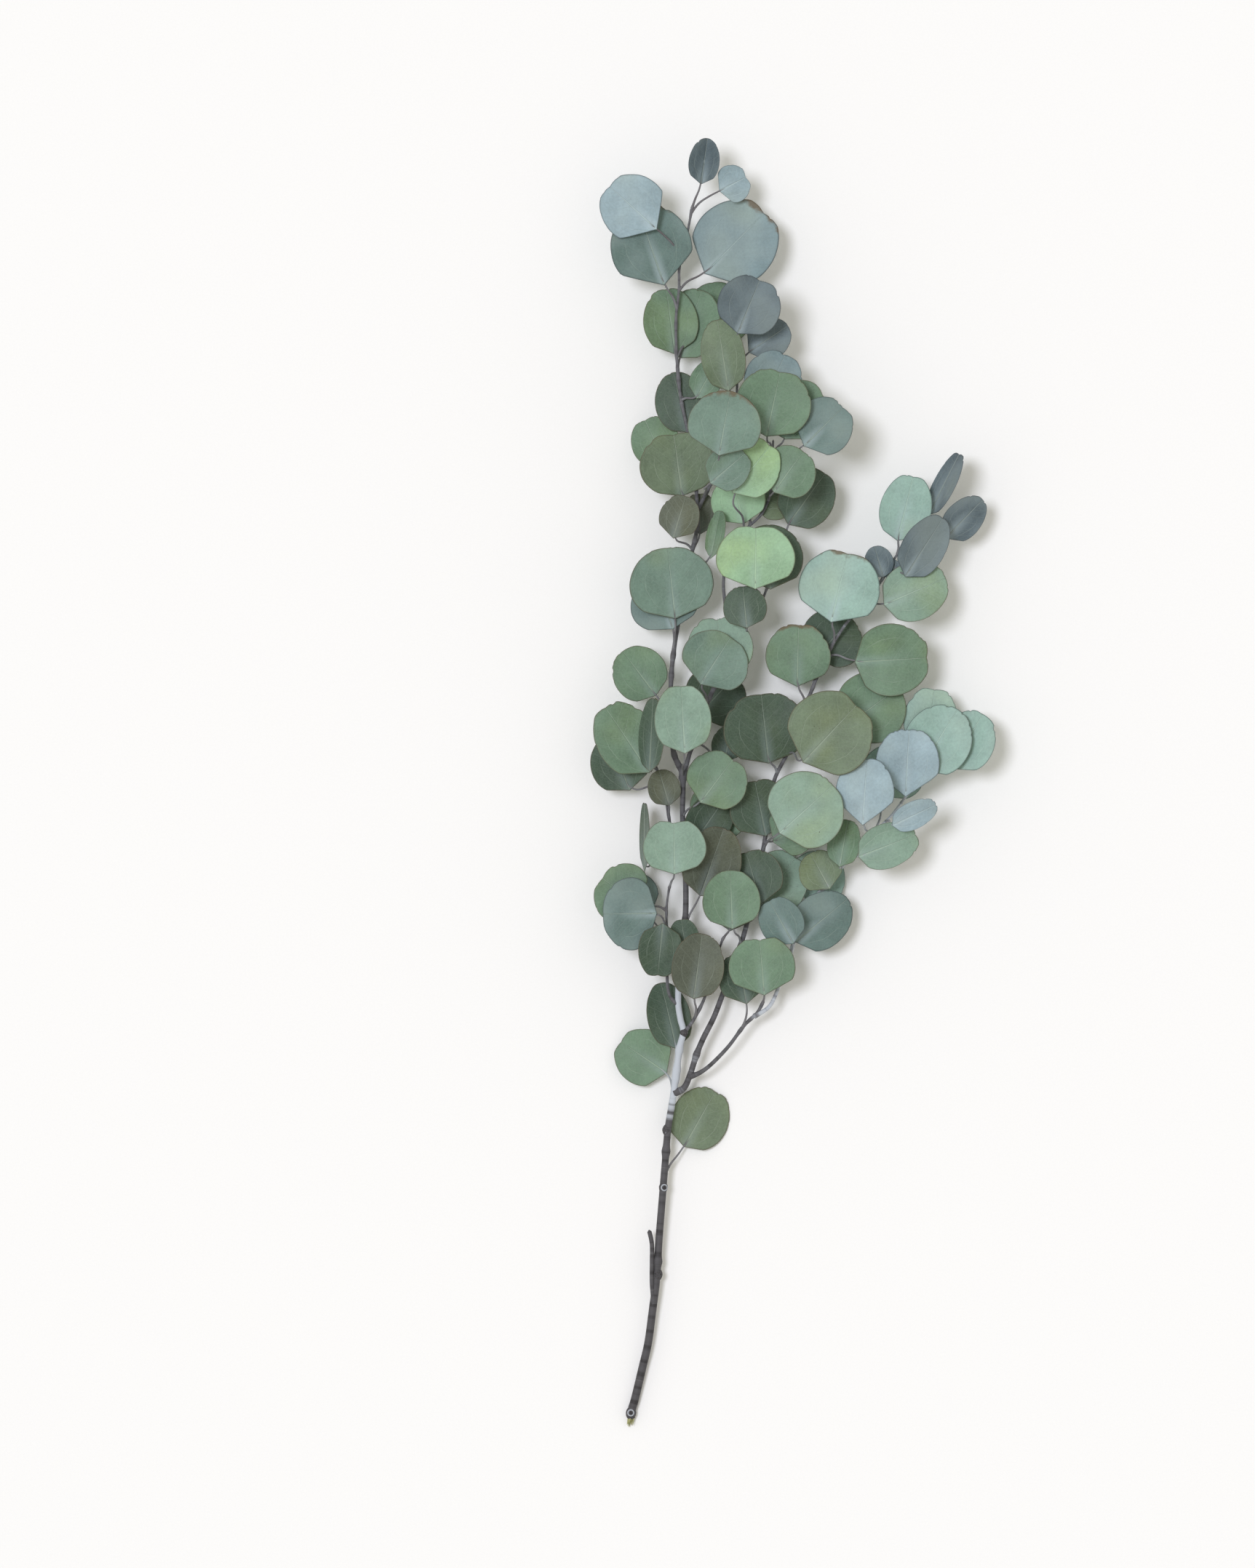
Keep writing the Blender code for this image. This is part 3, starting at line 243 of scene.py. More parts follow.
LEAVES = (
    # Crown: the blue leaves at the tip, and those down the main stem as far as its last fork
    LeafPlan("trunk", (963, 257), (972, 194), 42, 5, Tone.SLATE, pitch=8, fold=42, root=(951, 289),
             notch=0),
    LeafPlan("trunk", (988, 266), (1028, 245), 52, 4, Tone.SILVER, pitch=10, roll=-24, root=(950, 296),
             notch=0.1),
    LeafPlan("trunk", (903, 319), (835, 257), 90, 3, Tone.SILVER, pitch=6, roll=12, root=(934, 360),
             wedge=1.2),
    LeafPlan("trunk", (913, 395), (875, 285), 112, 1, Tone.BLUE_GREEN, pitch=-4, roll=-6,
             root=(931, 425), wedge=1.1, mark=Mark.BROWNED),
    LeafPlan("trunk", (968, 379), (1055, 290), 115, 1, Tone.BLUE_GREY, pitch=-2, roll=8,
             root=(933, 402), notch=0.06, wedge=0.9, mark=Mark.BROWNED),
    LeafPlan("trunk", (928, 489), (915, 396), 75, Lie.UNDER_WOOD, Tone.GREEN, pitch=-4, roll=-10,
             root=(931, 508)),
    LeafPlan("trunk", (934, 494), (965, 398), 80, Lie.UNDER_WOOD, Tone.GREEN, pitch=-5, roll=12,
             root=(932, 516)),
    LeafPlan("trunk", (957, 550), (985, 497), 44, 1, Tone.GREEN, pitch=5, roll=14, root=(936, 552)),
    LeafPlan("trunk", (945, 596), (925, 513), 70, Lie.UNDER_WOOD, Tone.DARK, pitch=-3, roll=8,
             root=(951, 630)),
    LeafPlan("trunk", (937, 684), (925, 594), 104, 2, Tone.OLIVE, pitch=4, roll=-12, root=(957, 705)),
    LeafPlan("trunk", (925, 742), (943, 682), 55, 3, Tone.BROWN, pitch=12, roll=26, root=(952, 756)),
    LeafPlan("trunk", (962, 736), (962, 678), 50, Lie.UNDER_WOOD, Tone.BROWN, pitch=-4, roll=-8,
             root=(951, 762)),
    LeafPlan("trunk", (976, 770), (990, 702), 25, 3, Tone.GREEN, pitch=8, roll=38, fold=24,
             root=(945, 790)),
    LeafPlan("trunk", (928, 852), (917, 752), 115, 3, Tone.GREY_GREEN, pitch=6, roll=-6, root=(926, 892)),
    LeafPlan("trunk", (925, 866), (900, 790), 95, 1, Tone.BLUE_GREEN, pitch=-6, roll=10, root=(925, 900)),
    # Upper twig: the slate and olive leaves right of the crown
    LeafPlan("upper_twig", (1013, 463), (1045, 385), 87, 4, Tone.SLATE, pitch=10, roll=-14, fold=8,
             root=(1013, 478)),
    LeafPlan("upper_twig", (1028, 487), (1083, 450), 58, 1, Tone.SLATE, pitch=2, roll=16, root=(1013, 512)),
    LeafPlan("upper_twig", (1001, 541), (985, 440), 60, 3, Tone.OLIVE, pitch=5, roll=24, root=(1011, 562)),
    LeafPlan("upper_twig", (1045, 560), (1080, 487), 80, 1, Tone.BLUE_GREY, pitch=-3, roll=-9,
             root=(1010, 576)),
    LeafPlan("upper_twig", (987, 631), (1003, 543), 101, 5, Tone.GREY_GREEN, pitch=9, roll=5,
             root=(977, 668), notch=0, mark=Mark.BROWNED),
    LeafPlan("upper_twig", (975, 668), (1025, 625), 60, 4, Tone.GREY_GREEN, pitch=7, roll=-16,
             root=(968, 684)),
    # Middle twig: the heap of round leaves between the crown and the right limb
    LeafPlan("middle_twig", (1052, 604), (1072, 510), 103, 3, Tone.GREEN, pitch=6, roll=-6,
             root=(1062, 622)),
    LeafPlan("middle_twig", (1078, 607), (1100, 520), 95, 1, Tone.GREEN, pitch=-5, roll=10,
             root=(1062, 628)),
    LeafPlan("middle_twig", (1103, 617), (1160, 560), 80, 2, Tone.BLUE_GREEN, pitch=-6, roll=9,
             root=(1061, 650)),
    LeafPlan("middle_twig", (1062, 680), (1104, 622), 76, 2, Tone.GREEN, pitch=5, roll=12,
             root=(1056, 690)),
    LeafPlan("middle_twig", (1006, 681), (1060, 612), 75, 3, Tone.FRESH, pitch=4, roll=-10,
             root=(1022, 732)),
    LeafPlan("middle_twig", (1022, 722), (1005, 655), 75, 2, Tone.FRESH, pitch=-4, roll=8,
             root=(1018, 738)),
    LeafPlan("blue_twig", (1082, 723), (1135, 650), 75, 1, Tone.DARK, pitch=-3, roll=-12, root=(1076, 742)),
    LeafPlan("bright_twig", (1037, 812), (1038, 722), 108, 3, Tone.FRESH, pitch=8, roll=3, notch=0.07,
             root=(1039, 822)),
    LeafPlan("blue_twig", (1058, 812), (1056, 722), 92, 1, Tone.DARK, pitch=-8, roll=-12, root=(1052, 812)),
    LeafPlan("middle_twig", (993, 934), (985, 845), 90, 1, Tone.SAGE, pitch=-5, roll=10, notch=0.08,
             root=(990, 925)),
    LeafPlan("middle_twig", (962, 942), (1005, 875), 95, 2, Tone.GREY_GREEN, pitch=6, roll=-8,
             root=(972, 966)),
    LeafPlan("bright_twig", (1026, 865), (1020, 806), 60, 1, Tone.DARK, pitch=-4, roll=15,
             root=(1022, 874)),
    LeafPlan("middle_twig", (996, 1048), (1004, 998), 45, 1, Tone.DARK, pitch=4, roll=18, root=(953, 1020)),
    # Main stem, from the middle fork down to the lowest leaf
    LeafPlan("trunk", (941, 1037), (935, 940), 78, 4, Tone.SAGE, pitch=7, roll=-5, root=(938, 1068)),
    LeafPlan("trunk", (902, 957), (855, 895), 75, 3, Tone.GREEN, pitch=3, roll=-10, root=(922, 992),
             notch=0.02),
    LeafPlan("trunk", (962, 1104), (1010, 1040), 85, 3, Tone.GREEN, pitch=6, roll=8, root=(938, 1122),
             notch=0.08),
    LeafPlan("trunk", (952, 1160), (1000, 1092), 62, 1, Tone.DARK, pitch=-2, roll=-12, root=(941, 1182)),
    LeafPlan("trunk", (962, 1232), (995, 1137), 80, 2, Tone.BROWN, pitch=12, fold=26, root=(942, 1276)),
    LeafPlan("trunk", (944, 1312), (936, 1262), 42, 1, Tone.DARK, pitch=4, roll=20, root=(937, 1330)),
    LeafPlan("trunk", (930, 1442), (908, 1350), 60, Lie.UNDER_WOOD, Tone.DARK, pitch=-4, roll=-10,
             root=(929, 1478)),
    LeafPlan("trunk", (917, 1475), (850, 1430), 78, Lie.UNDER_WOOD, Tone.GREEN, pitch=-7, roll=6,
             root=(924, 1512)),
    LeafPlan("trunk", (940, 1577), (985, 1497), 80, Lie.UNDER_WOOD, Tone.OLIVE, pitch=-5, roll=-12,
             root=(913, 1618)),
    # Inner twig: the leaves that stand out to the left at half height
    LeafPlan("inner_twig", (893, 1062), (898, 958), 35, 3, Tone.DARK, pitch=5, roll=58, root=(903, 1058)),
    LeafPlan("inner_twig", (893, 1063), (830, 970), 85, 2, Tone.GREEN, pitch=3, roll=-8, root=(900, 1050)),
    LeafPlan("inner_twig", (866, 1087), (835, 1010), 80, 1, Tone.DARK, pitch=-5, roll=8, root=(911, 1082)),
    LeafPlan("inner_twig", (920, 1108), (905, 1058), 45, 1, Tone.BROWN, pitch=3, roll=-14,
             root=(921, 1124)),
    LeafPlan("inner_twig", (886, 1200), (886, 1100), 14, 1, Tone.DARK, pitch=2, roll=76, root=(926, 1155)),
    # Left twig: the pale heart, the large blue leaf left of it and those beneath
    LeafPlan("left_twig", (927, 1202), (926, 1124), 87, 3, Tone.SAGE, pitch=9, roll=4, notch=0.1,
             root=(920, 1220)),
    LeafPlan("left_twig", (903, 1255), (827, 1256), 100, 2, Tone.BLUE_GREEN, pitch=5, roll=7,
             root=(917, 1286)),
    LeafPlan("left_twig", (880, 1245), (825, 1205), 85, 1, Tone.GREEN, pitch=-4, roll=-9, root=(916, 1252)),
    LeafPlan("left_twig", (911, 1268), (903, 1345), 60, 2, Tone.DARK, pitch=-6, roll=12, root=(917, 1296)),
    # Dark twig
    LeafPlan("dark_twig", (953, 1373), (965, 1281), 72, 3, Tone.BROWN, pitch=6, roll=-8, fold=14,
             root=(956, 1397)),
    LeafPlan("dark_twig", (1003, 1280), (1010, 1206), 66, 1, Tone.DARK, pitch=-3, roll=10,
             root=(992, 1292)),
    # Right limb, from its foot up to the cluster at its tip
    LeafPlan("right_limb", (1006, 1277), (1003, 1195), 80, 3, Tone.GREEN, pitch=7, roll=-7,
             root=(1018, 1297)),
    LeafPlan("right_limb", (1046, 1243), (1024, 1168), 80, 1, Tone.DARK, pitch=-2, roll=10,
             root=(1030, 1254)),
    LeafPlan("right_limb", (1040, 1252), (1095, 1175), 85, Lie.UNDER_WOOD, Tone.SAGE, pitch=-5, roll=6,
             root=(1029, 1258), mark=Mark.SPECKLED),
    LeafPlan("right_limb", (1052, 1150), (1036, 1070), 85, 1, Tone.DARK, pitch=2, roll=-12,
             root=(1050, 1160)),
    LeafPlan("right_limb", (1070, 1146), (1145, 1078), 110, 5, Tone.SAGE, pitch=7, roll=6,
             root=(1048, 1168), mark=Mark.SPECKLED),
    LeafPlan("right_limb", (1062, 1158), (1112, 1126), 70, 1, Tone.GREEN, pitch=-4, roll=-8,
             root=(1050, 1160), mark=Mark.BROWNED),
    LeafPlan("right_limb", (1056, 1050), (1045, 951), 115, 2, Tone.DARK, pitch=5, roll=-9,
             root=(1068, 1062), mark=Mark.SPECKLED),
    LeafPlan("right_limb", (1102, 1049), (1180, 965), 120, 5, Tone.OLIVE, pitch=3, roll=-6,
             root=(1082, 1036), notch=0.07, mark=Mark.SPECKLED),
    LeafPlan("right_limb", (1160, 1000), (1235, 945), 100, 3, Tone.GREEN, pitch=-4, roll=5,
             root=(1110, 962), mark=Mark.SPECKLED),
    LeafPlan("right_limb", (1095, 945), (1097, 856), 89, 3, Tone.GREEN, pitch=6, roll=8, root=(1106, 972),
             mark=Mark.BROWNED),
    LeafPlan("right_limb", (1173, 911), (1278, 905), 99, 4, Tone.GREEN, pitch=2, roll=-10,
             root=(1136, 903)),
    LeafPlan("right_limb", (1141, 857), (1165, 757), 112, 4, Tone.TEAL, pitch=6, roll=7, notch=0.06,
             root=(1146, 884), mark=Mark.BROWNED),
    LeafPlan("right_limb", (1213, 833), (1300, 795), 80, 3, Tone.SAGE, pitch=-3, roll=11, root=(1186, 832)),
    LeafPlan("right_limb", (1213, 795), (1200, 752), 40, 2, Tone.SLATE, pitch=8, roll=-18,
             root=(1206, 806)),
    LeafPlan("right_limb", (1222, 800), (1232, 770), 30, 1, Tone.SLATE, pitch=5, roll=12, root=(1218, 787)),
    LeafPlan("right_limb", (1242, 795), (1295, 712), 60, 4, Tone.SLATE, pitch=5, roll=-26,
             root=(1222, 780)),
    LeafPlan("right_limb", (1232, 745), (1255, 653), 70, 3, Tone.TEAL, pitch=4, roll=10, root=(1232, 763)),
    LeafPlan("right_limb", (1275, 710), (1319, 622), 30, 2, Tone.SLATE, pitch=4, roll=56, root=(1263, 727)),
    LeafPlan("right_limb", (1297, 742), (1350, 687), 50, 1, Tone.SLATE, pitch=-2, roll=-34,
             root=(1256, 734)),
    # Side limb: the fresh leaf over the fork and the dark one behind it
    LeafPlan("side_limb", (1050, 1368), (1043, 1285), 92, 3, Tone.GREEN, pitch=8, roll=4, notch=0.08,
             root=(1047, 1380)),
    LeafPlan("side_limb", (1026, 1380), (1012, 1308), 64, 2, Tone.DARK, pitch=-2, roll=-10,
             root=(1020, 1413)),
    # Outer twig: the silver and teal leaves at the far right
    LeafPlan("outer_twig", (1090, 1297), (1055, 1235), 60, 2, Tone.BLUE_GREEN, pitch=4, roll=12,
             root=(1086, 1310)),
    LeafPlan("outer_twig", (1092, 1295), (1165, 1235), 75, 1, Tone.BLUE_GREEN, pitch=-5, roll=-8,
             root=(1090, 1297)),
    LeafPlan("outer_twig", (1140, 1222), (1112, 1172), 60, 1, Tone.OLIVE, pitch=3, roll=-12,
             root=(1128, 1224)),
    LeafPlan("outer_twig", (1153, 1192), (1165, 1125), 45, 2, Tone.GREEN, pitch=5, roll=22,
             root=(1152, 1197)),
    LeafPlan("outer_twig", (1178, 1178), (1262, 1145), 62, 3, Tone.SAGE, pitch=-3, roll=-12,
             root=(1165, 1181)),
    LeafPlan("outer_twig", (1184, 1135), (1190, 1040), 80, 4, Tone.SILVER, pitch=4, roll=9,
             root=(1192, 1152), wedge=1.3),
    LeafPlan("outer_twig", (1243, 1096), (1248, 999), 88, 3, Tone.SILVER, pitch=6, roll=-5,
             root=(1238, 1104), wedge=1.25),
    LeafPlan("outer_twig", (1262, 1060), (1315, 975), 92, 2, Tone.TEAL, pitch=-3, roll=6,
             root=(1256, 1084)),
    LeafPlan("outer_twig", (1272, 1030), (1284, 944), 75, 1, Tone.TEAL, pitch=-5, roll=-9,
             root=(1262, 1078)),
    LeafPlan("outer_twig", (1307, 1058), (1350, 980), 75, 1, Tone.TEAL, pitch=-4, roll=12,
             root=(1286, 1062)),
    LeafPlan("outer_twig", (1224, 1135), (1286, 1105), 38, 3, Tone.SILVER, pitch=5, roll=-28,
             root=(1216, 1129)),
    # Leaves that hang down and lie with their tips flat on the surface
    LeafPlan("trunk", (962, 462), (1016, 398), 92, Lie.ON_SURFACE, Tone.GREEN, pitch=-25,
             root=(930, 492), notch=0.05),
    LeafPlan("trunk", (958, 985), (1012, 928), 88, Lie.ON_SURFACE, Tone.DARK, pitch=-24,
             root=(922, 1020), notch=0.04),
    LeafPlan("left_twig", (893, 1262), (838, 1214), 84, Lie.ON_SURFACE, Tone.BLUE_GREEN, pitch=-25,
             root=(917, 1300), notch=0.05),
    LeafPlan("right_limb", (1152, 985), (1228, 968), 92, Lie.ON_SURFACE, Tone.GREEN, pitch=-24,
             root=(1104, 978), notch=0.06),
    LeafPlan("outer_twig", (1214, 1096), (1242, 1026), 86, Lie.ON_SURFACE, Tone.TEAL, pitch=-25,
             root=(1200, 1145), notch=0.03),
    # Leaves on the underside
    LeafPlan("trunk", (915, 640), (885, 575), 66, Lie.UNDER_WOOD, Tone.GREEN, pitch=-12, roll=8,
             root=(954, 655)),
    LeafPlan("middle_twig", (1028, 690), (1092, 660), 84, Lie.UNDER_WOOD, Tone.OLIVE, pitch=-8, roll=6,
             root=(1030, 724)),
    LeafPlan("trunk", (962, 1140), (1015, 1088), 84, Lie.UNDER_WOOD, Tone.GREEN, pitch=-9, roll=-5,
             root=(939, 1150)),
    LeafPlan("right_limb", (1120, 905), (1170, 850), 86, Lie.UNDER_WOOD, Tone.DARK, pitch=-9, roll=6,
             root=(1117, 945)),
    LeafPlan("outer_twig", (1100, 1232), (1150, 1180), 78, Lie.UNDER_WOOD, Tone.TEAL, pitch=-8, roll=-6,
             root=(1098, 1272)),
)

# Swellings on the trunk: (column, row, side of the trunk, size in millimetres)
KNOTS = ((867, 1942, -0.2, 3.0), (909, 1752, 0.9, 2.7), (913, 1632, 0.2, 2.6), (917, 1551, -1.0, 2.5),
         (938, 1418, 0.5, 2.4), (938, 1068, 0.3, 1.9))

# Where fallen leaves have left a pale ring on the trunk: (column, row)
SCARS = ((867, 1942), (913, 1632))

# How far the bark ends short of the torn end, in metres
CUT_DEPTH = 0.0055

# The rings and spokes of the disc that every blade is grown from
DISC_RINGS = (0.10, 0.22, 0.34, 0.46, 0.58, 0.70, 0.80, 0.88, 0.94, 0.98, 1.0)
DISC_SPOKES = 88


class Term:
    """A number or vector in a node tree. Arithmetic on it adds the nodes for it."""

    def __init__(self, tree: bpy.types.NodeTree, socket: bpy.types.NodeSocket) -> None:
        """Wraps an output socket of the tree."""
        self.tree = tree
        self.socket = socket

    def math(self, operation: str, *others: object) -> "Term":
        """Adds a Math node.

        Args:
            operation: The Math node's operation.
            others: Its further inputs, numbers or terms.

        Returns:
            The result as a term.
        """
        made = self.tree.nodes.new("ShaderNodeMath")
        made.operation = operation
        for slot, item in zip(made.inputs, (self, *others)):
            feed(self.tree, slot, item)
        return Term(self.tree, made.outputs[0])

    def vector(self, operation: str, *others: object) -> "Term":
        """Adds a Vector Math node.

        Args:
            operation: The Vector Math node's operation.
            others: Its further inputs. The last one of SCALE is its factor.

        Returns:
            The result as a term.
        """
        made = self.tree.nodes.new("ShaderNodeVectorMath")
        made.operation = operation
        feed(self.tree, made.inputs[0], self)
        slots = [made.inputs["Scale"]] if operation == "SCALE" else list(made.inputs)[1:]
        for slot, item in zip(slots, others):
            feed(self.tree, slot, item)
        result = "Value" if operation in ("LENGTH", "DISTANCE", "DOT_PRODUCT") else "Vector"
        return Term(self.tree, made.outputs[result])

    def ramp(self, start: object, end: object, low: object = 0.0, high: object = 1.0) -> "Term":
        """A smooth step from one value to another.

        Args:
            start: Where the step starts.
            end: Where it ends.
            low: The value before it.
            high: The value after it.

        Returns:
            The stepped value as a term.
        """
        made = self.tree.nodes.new("ShaderNodeMapRange")
        made.interpolation_type = "SMOOTHSTEP"
        for slot, item in zip(made.inputs, (self, start, end, low, high)):
            feed(self.tree, slot, item)
        return Term(self.tree, made.outputs["Result"])

    def __add__(self, other: object) -> "Term":
        """The sum."""
        return self.math("ADD", other)

    def __radd__(self, other: object) -> "Term":
        """The sum."""
        return self.math("ADD", other)

    def __sub__(self, other: object) -> "Term":
        """The difference."""
        return self.math("SUBTRACT", other)

    def __rsub__(self, other: object) -> "Term":
        """The difference from a number."""
        return (self * -1.0) + other

    def __mul__(self, other: object) -> "Term":
        """The product."""
        return self.math("MULTIPLY", other)

    def __rmul__(self, other: object) -> "Term":
        """The product."""
        return self.math("MULTIPLY", other)

    def __truediv__(self, other: object) -> "Term":
        """The quotient."""
        return self.math("DIVIDE", other)

    def __pow__(self, other: object) -> "Term":
        """The power."""
        return self.math("POWER", other)


def feed(tree: bpy.types.NodeTree, slot: bpy.types.NodeSocket, item: object) -> None:
    """Links a term or a socket to an input, or writes a plain value there."""
    if isinstance(item, Term):
        tree.links.new(item.socket, slot)
    elif isinstance(item, bpy.types.NodeSocket):
        tree.links.new(item, slot)
    else:
        slot.default_value = item


class TreeMaker:
    """Adds nodes to a geometry tree or a material's tree."""

    def __init__(self, tree: bpy.types.NodeTree) -> None:
        """Takes the tree that the nodes go into."""
        self.tree = tree

    def node(self, kind: str, sockets: dict = None, **settings: object) -> bpy.types.Node:
        """Adds a node.

        Args:
            kind: The node's type.
            sockets: What goes into its inputs, by name or number.
            settings: Its properties.

        Returns:
            The node.
        """
        made = self.tree.nodes.new(kind)
        for key, value in settings.items():
            setattr(made, key, value)
        for key, value in (sockets or {}).items():
            feed(self.tree, made.inputs[key], value)
        return made

    def noise(self, vector: object, scale: float, detail: float = 2.0, seed: object = 0.0) -> Term:
        """Noise from 0 to 1 at a vector, another one for each seed."""
        made = self.node("ShaderNodeTexNoise", {"Vector": vector, "W": seed, "Scale": scale,
                                                "Detail": detail}, noise_dimensions="4D")
        return Term(self.tree, made.outputs[0])

    def blend(self, share: object, first: object, second: object) -> Term:
        """Mixes two colours by a share."""
        made = self.node("ShaderNodeMix", data_type="RGBA")
        feed(self.tree, made.inputs["Factor"], share)
        feed(self.tree, made.inputs[6], first)
        feed(self.tree, made.inputs[7], second)
        return Term(self.tree, made.outputs[2])

    def combine(self, x: object, y: object, z: object = 0.0) -> Term:
        """A vector from three numbers or terms."""
        made = self.node("ShaderNodeCombineXYZ", {0: x, 1: y, 2: z})
        return Term(self.tree, made.outputs[0])

    def separate(self, vector: object) -> tuple:
        """A vector's three numbers as terms."""
        made = self.node("ShaderNodeSeparateXYZ", {0: vector})
        return tuple(Term(self.tree, socket) for socket in made.outputs)


class GeometryMaker(TreeMaker):
    """A geometry tree with named inputs, made for one kind of piece."""

    def __init__(self, name: str, inputs: dict) -> None:
        """Starts the tree.

        Args:
            name: The tree's name.
            inputs: Each input's name with its socket type.
        """
        super().__init__(bpy.data.node_groups.new(name, "GeometryNodeTree"))
        face = self.tree.interface
        face.new_socket("Geometry", in_out="INPUT", socket_type="NodeSocketGeometry")
        for label, kind in inputs.items():
            face.new_socket(label, in_out="INPUT", socket_type=kind)
        face.new_socket("Geometry", in_out="OUTPUT", socket_type="NodeSocketGeometry")
        self.source = self.tree.nodes.new("NodeGroupInput")

    def given(self, name: str) -> Term:
        """One of the tree's named inputs."""
        return Term(self.tree, self.source.outputs[name])

    def read(self, name: str, kind: str = "FLOAT") -> Term:
        """A named attribute."""
        made = self.node("GeometryNodeInputNamedAttribute", {"Name": name}, data_type=kind)
        return Term(self.tree, made.outputs["Attribute"])

    def store(self, geometry: object, name: str, value: object, kind: str = "FLOAT") -> bpy.types.NodeSocket:
        """Keeps a value on the points as a named attribute and returns the geometry."""
        made = self.node("GeometryNodeStoreNamedAttribute",
                         {"Geometry": geometry, "Name": name}, data_type=kind, domain="POINT")
        feed(self.tree, made.inputs["Value"], value)
        return made.outputs["Geometry"]

    def end(self, geometry: object) -> bpy.types.NodeTree:
        """Makes the result real, gives it the finish and closes the tree."""
        real = self.node("GeometryNodeRealizeInstances", {"Geometry": geometry})
        smooth = self.node("GeometryNodeSetShadeSmooth", {"Geometry": real.outputs["Geometry"]})
        dressed = self.node("GeometryNodeSetMaterial", {"Geometry": smooth.outputs["Geometry"],
                                                        "Material": self.given("Finish")})
        self.node("NodeGroupOutput", {"Geometry": dressed.outputs["Geometry"]})
        return self.tree


def grown(name: str, points: np.ndarray, edges: list, attributes: dict, tree: bpy.types.NodeTree,
          inputs: dict) -> bpy.types.Object:
    """Runs a geometry tree on points and keeps its result as a plain mesh.

    Args:
        name: The piece's name.
        points: Where the points are.
        edges: The pairs of points that are joined.
        attributes: For each attribute, its values, one number or three to a point.
        tree: The geometry tree.
        inputs: The tree's inputs, by name.

    Returns:
        The finished piece.
    """
    data = bpy.data.meshes.new(name + "_points")
    data.from_pydata([tuple(point) for point in points], edges, [])
    for label, values in attributes.items():
        values = np.asarray(values, dtype=float)
        kind, field = ("FLOAT_VECTOR", "vector") if values.ndim == 2 else ("FLOAT", "value")
        data.attributes.new(label, kind, "POINT").data.foreach_set(field, values.ravel())
    carrier = bpy.data.objects.new(name + "_points", data)
    bpy.context.scene.collection.objects.link(carrier)
    growth = carrier.modifiers.new("growth", "NODES")
    growth.node_group = tree
    for item in tree.interface.items_tree:
        if item.in_out == "INPUT" and item.name in inputs:
            growth[item.identifier] = inputs[item.name]
    evaluated = carrier.evaluated_get(bpy.context.evaluated_depsgraph_get())
    mesh = bpy.data.meshes.new_from_object(evaluated)
    mesh.name = name
    bpy.data.objects.remove(carrier, do_unlink=True)
    made = bpy.data.objects.new(name, mesh)
    bpy.context.scene.collection.objects.link(made)
    return made


def place(column: float, row: float, height: float = 0.0) -> Vector:
    """The point over a pixel of the picture, at a height in metres."""
    return Vector(((column - MIDDLE_COLUMN) * PIXEL, (MIDDLE_ROW - row) * PIXEL, height))


def smooth_route(points: list, steps: int) -> list:
    """A Catmull-Rom curve.

    Args:
        points: What it passes through.
        steps: How many steps each span gets.

    Returns:
        The curve's points.
    """
    padded = [points[0] * 2 - points[1], *points, points[-1] * 2 - points[-2]]
    route = []
    for before, start, end, after in zip(padded, padded[1:], padded[2:], padded[3:]):
        for step in range(steps):
            t = step / steps
            route.append(0.5 * (2 * start + (end - before) * t
                                + (2 * before - 5 * start + 4 * end - after) * t * t
                                + (3 * start - before - 3 * end + after) * t ** 3))
    route.append(points[-1].copy())
    return route


def along(route: list, share: float) -> Vector:
    """The point at a share of the route's own number of steps."""
    place_on = share * (len(route) - 1)
    step = min(int(place_on), len(route) - 2)
    return route[step].lerp(route[step + 1], place_on - step)


def nearest(route: list, point: Vector) -> float:
    """The share of a route at which it passes closest to a point, seen from above."""
    gaps = [(spot.xy - point.xy).length for spot in route]
    return gaps.index(min(gaps)) / (len(route) - 1)


def stem_radius(stem: StemPlan, share: float) -> float:
    """A stem's radius at a share of its length, in metres."""
    return (stem.foot_radius + (stem.tip_radius - stem.foot_radius) * share) * MILLIMETRE


def evenly(route: list, step: float) -> tuple:
    """Spaces a route's points evenly.

    Args:
        route: The route's points.
        step: The spacing wanted, in metres.

    Returns:
        The points as an array, and how far along the route each one lies, in metres.
    """
    spots = np.array([tuple(spot) for spot in route])
    lengths = np.concatenate(([0.0], np.cumsum(np.linalg.norm(np.diff(spots, axis=0), axis=1))))
    count = max(3, int(round(lengths[-1] / step)) + 1)
    wanted = np.linspace(0.0, lengths[-1], count)
    return np.stack([np.interp(wanted, lengths, spots[:, axis]) for axis in range(3)], axis=1), wanted


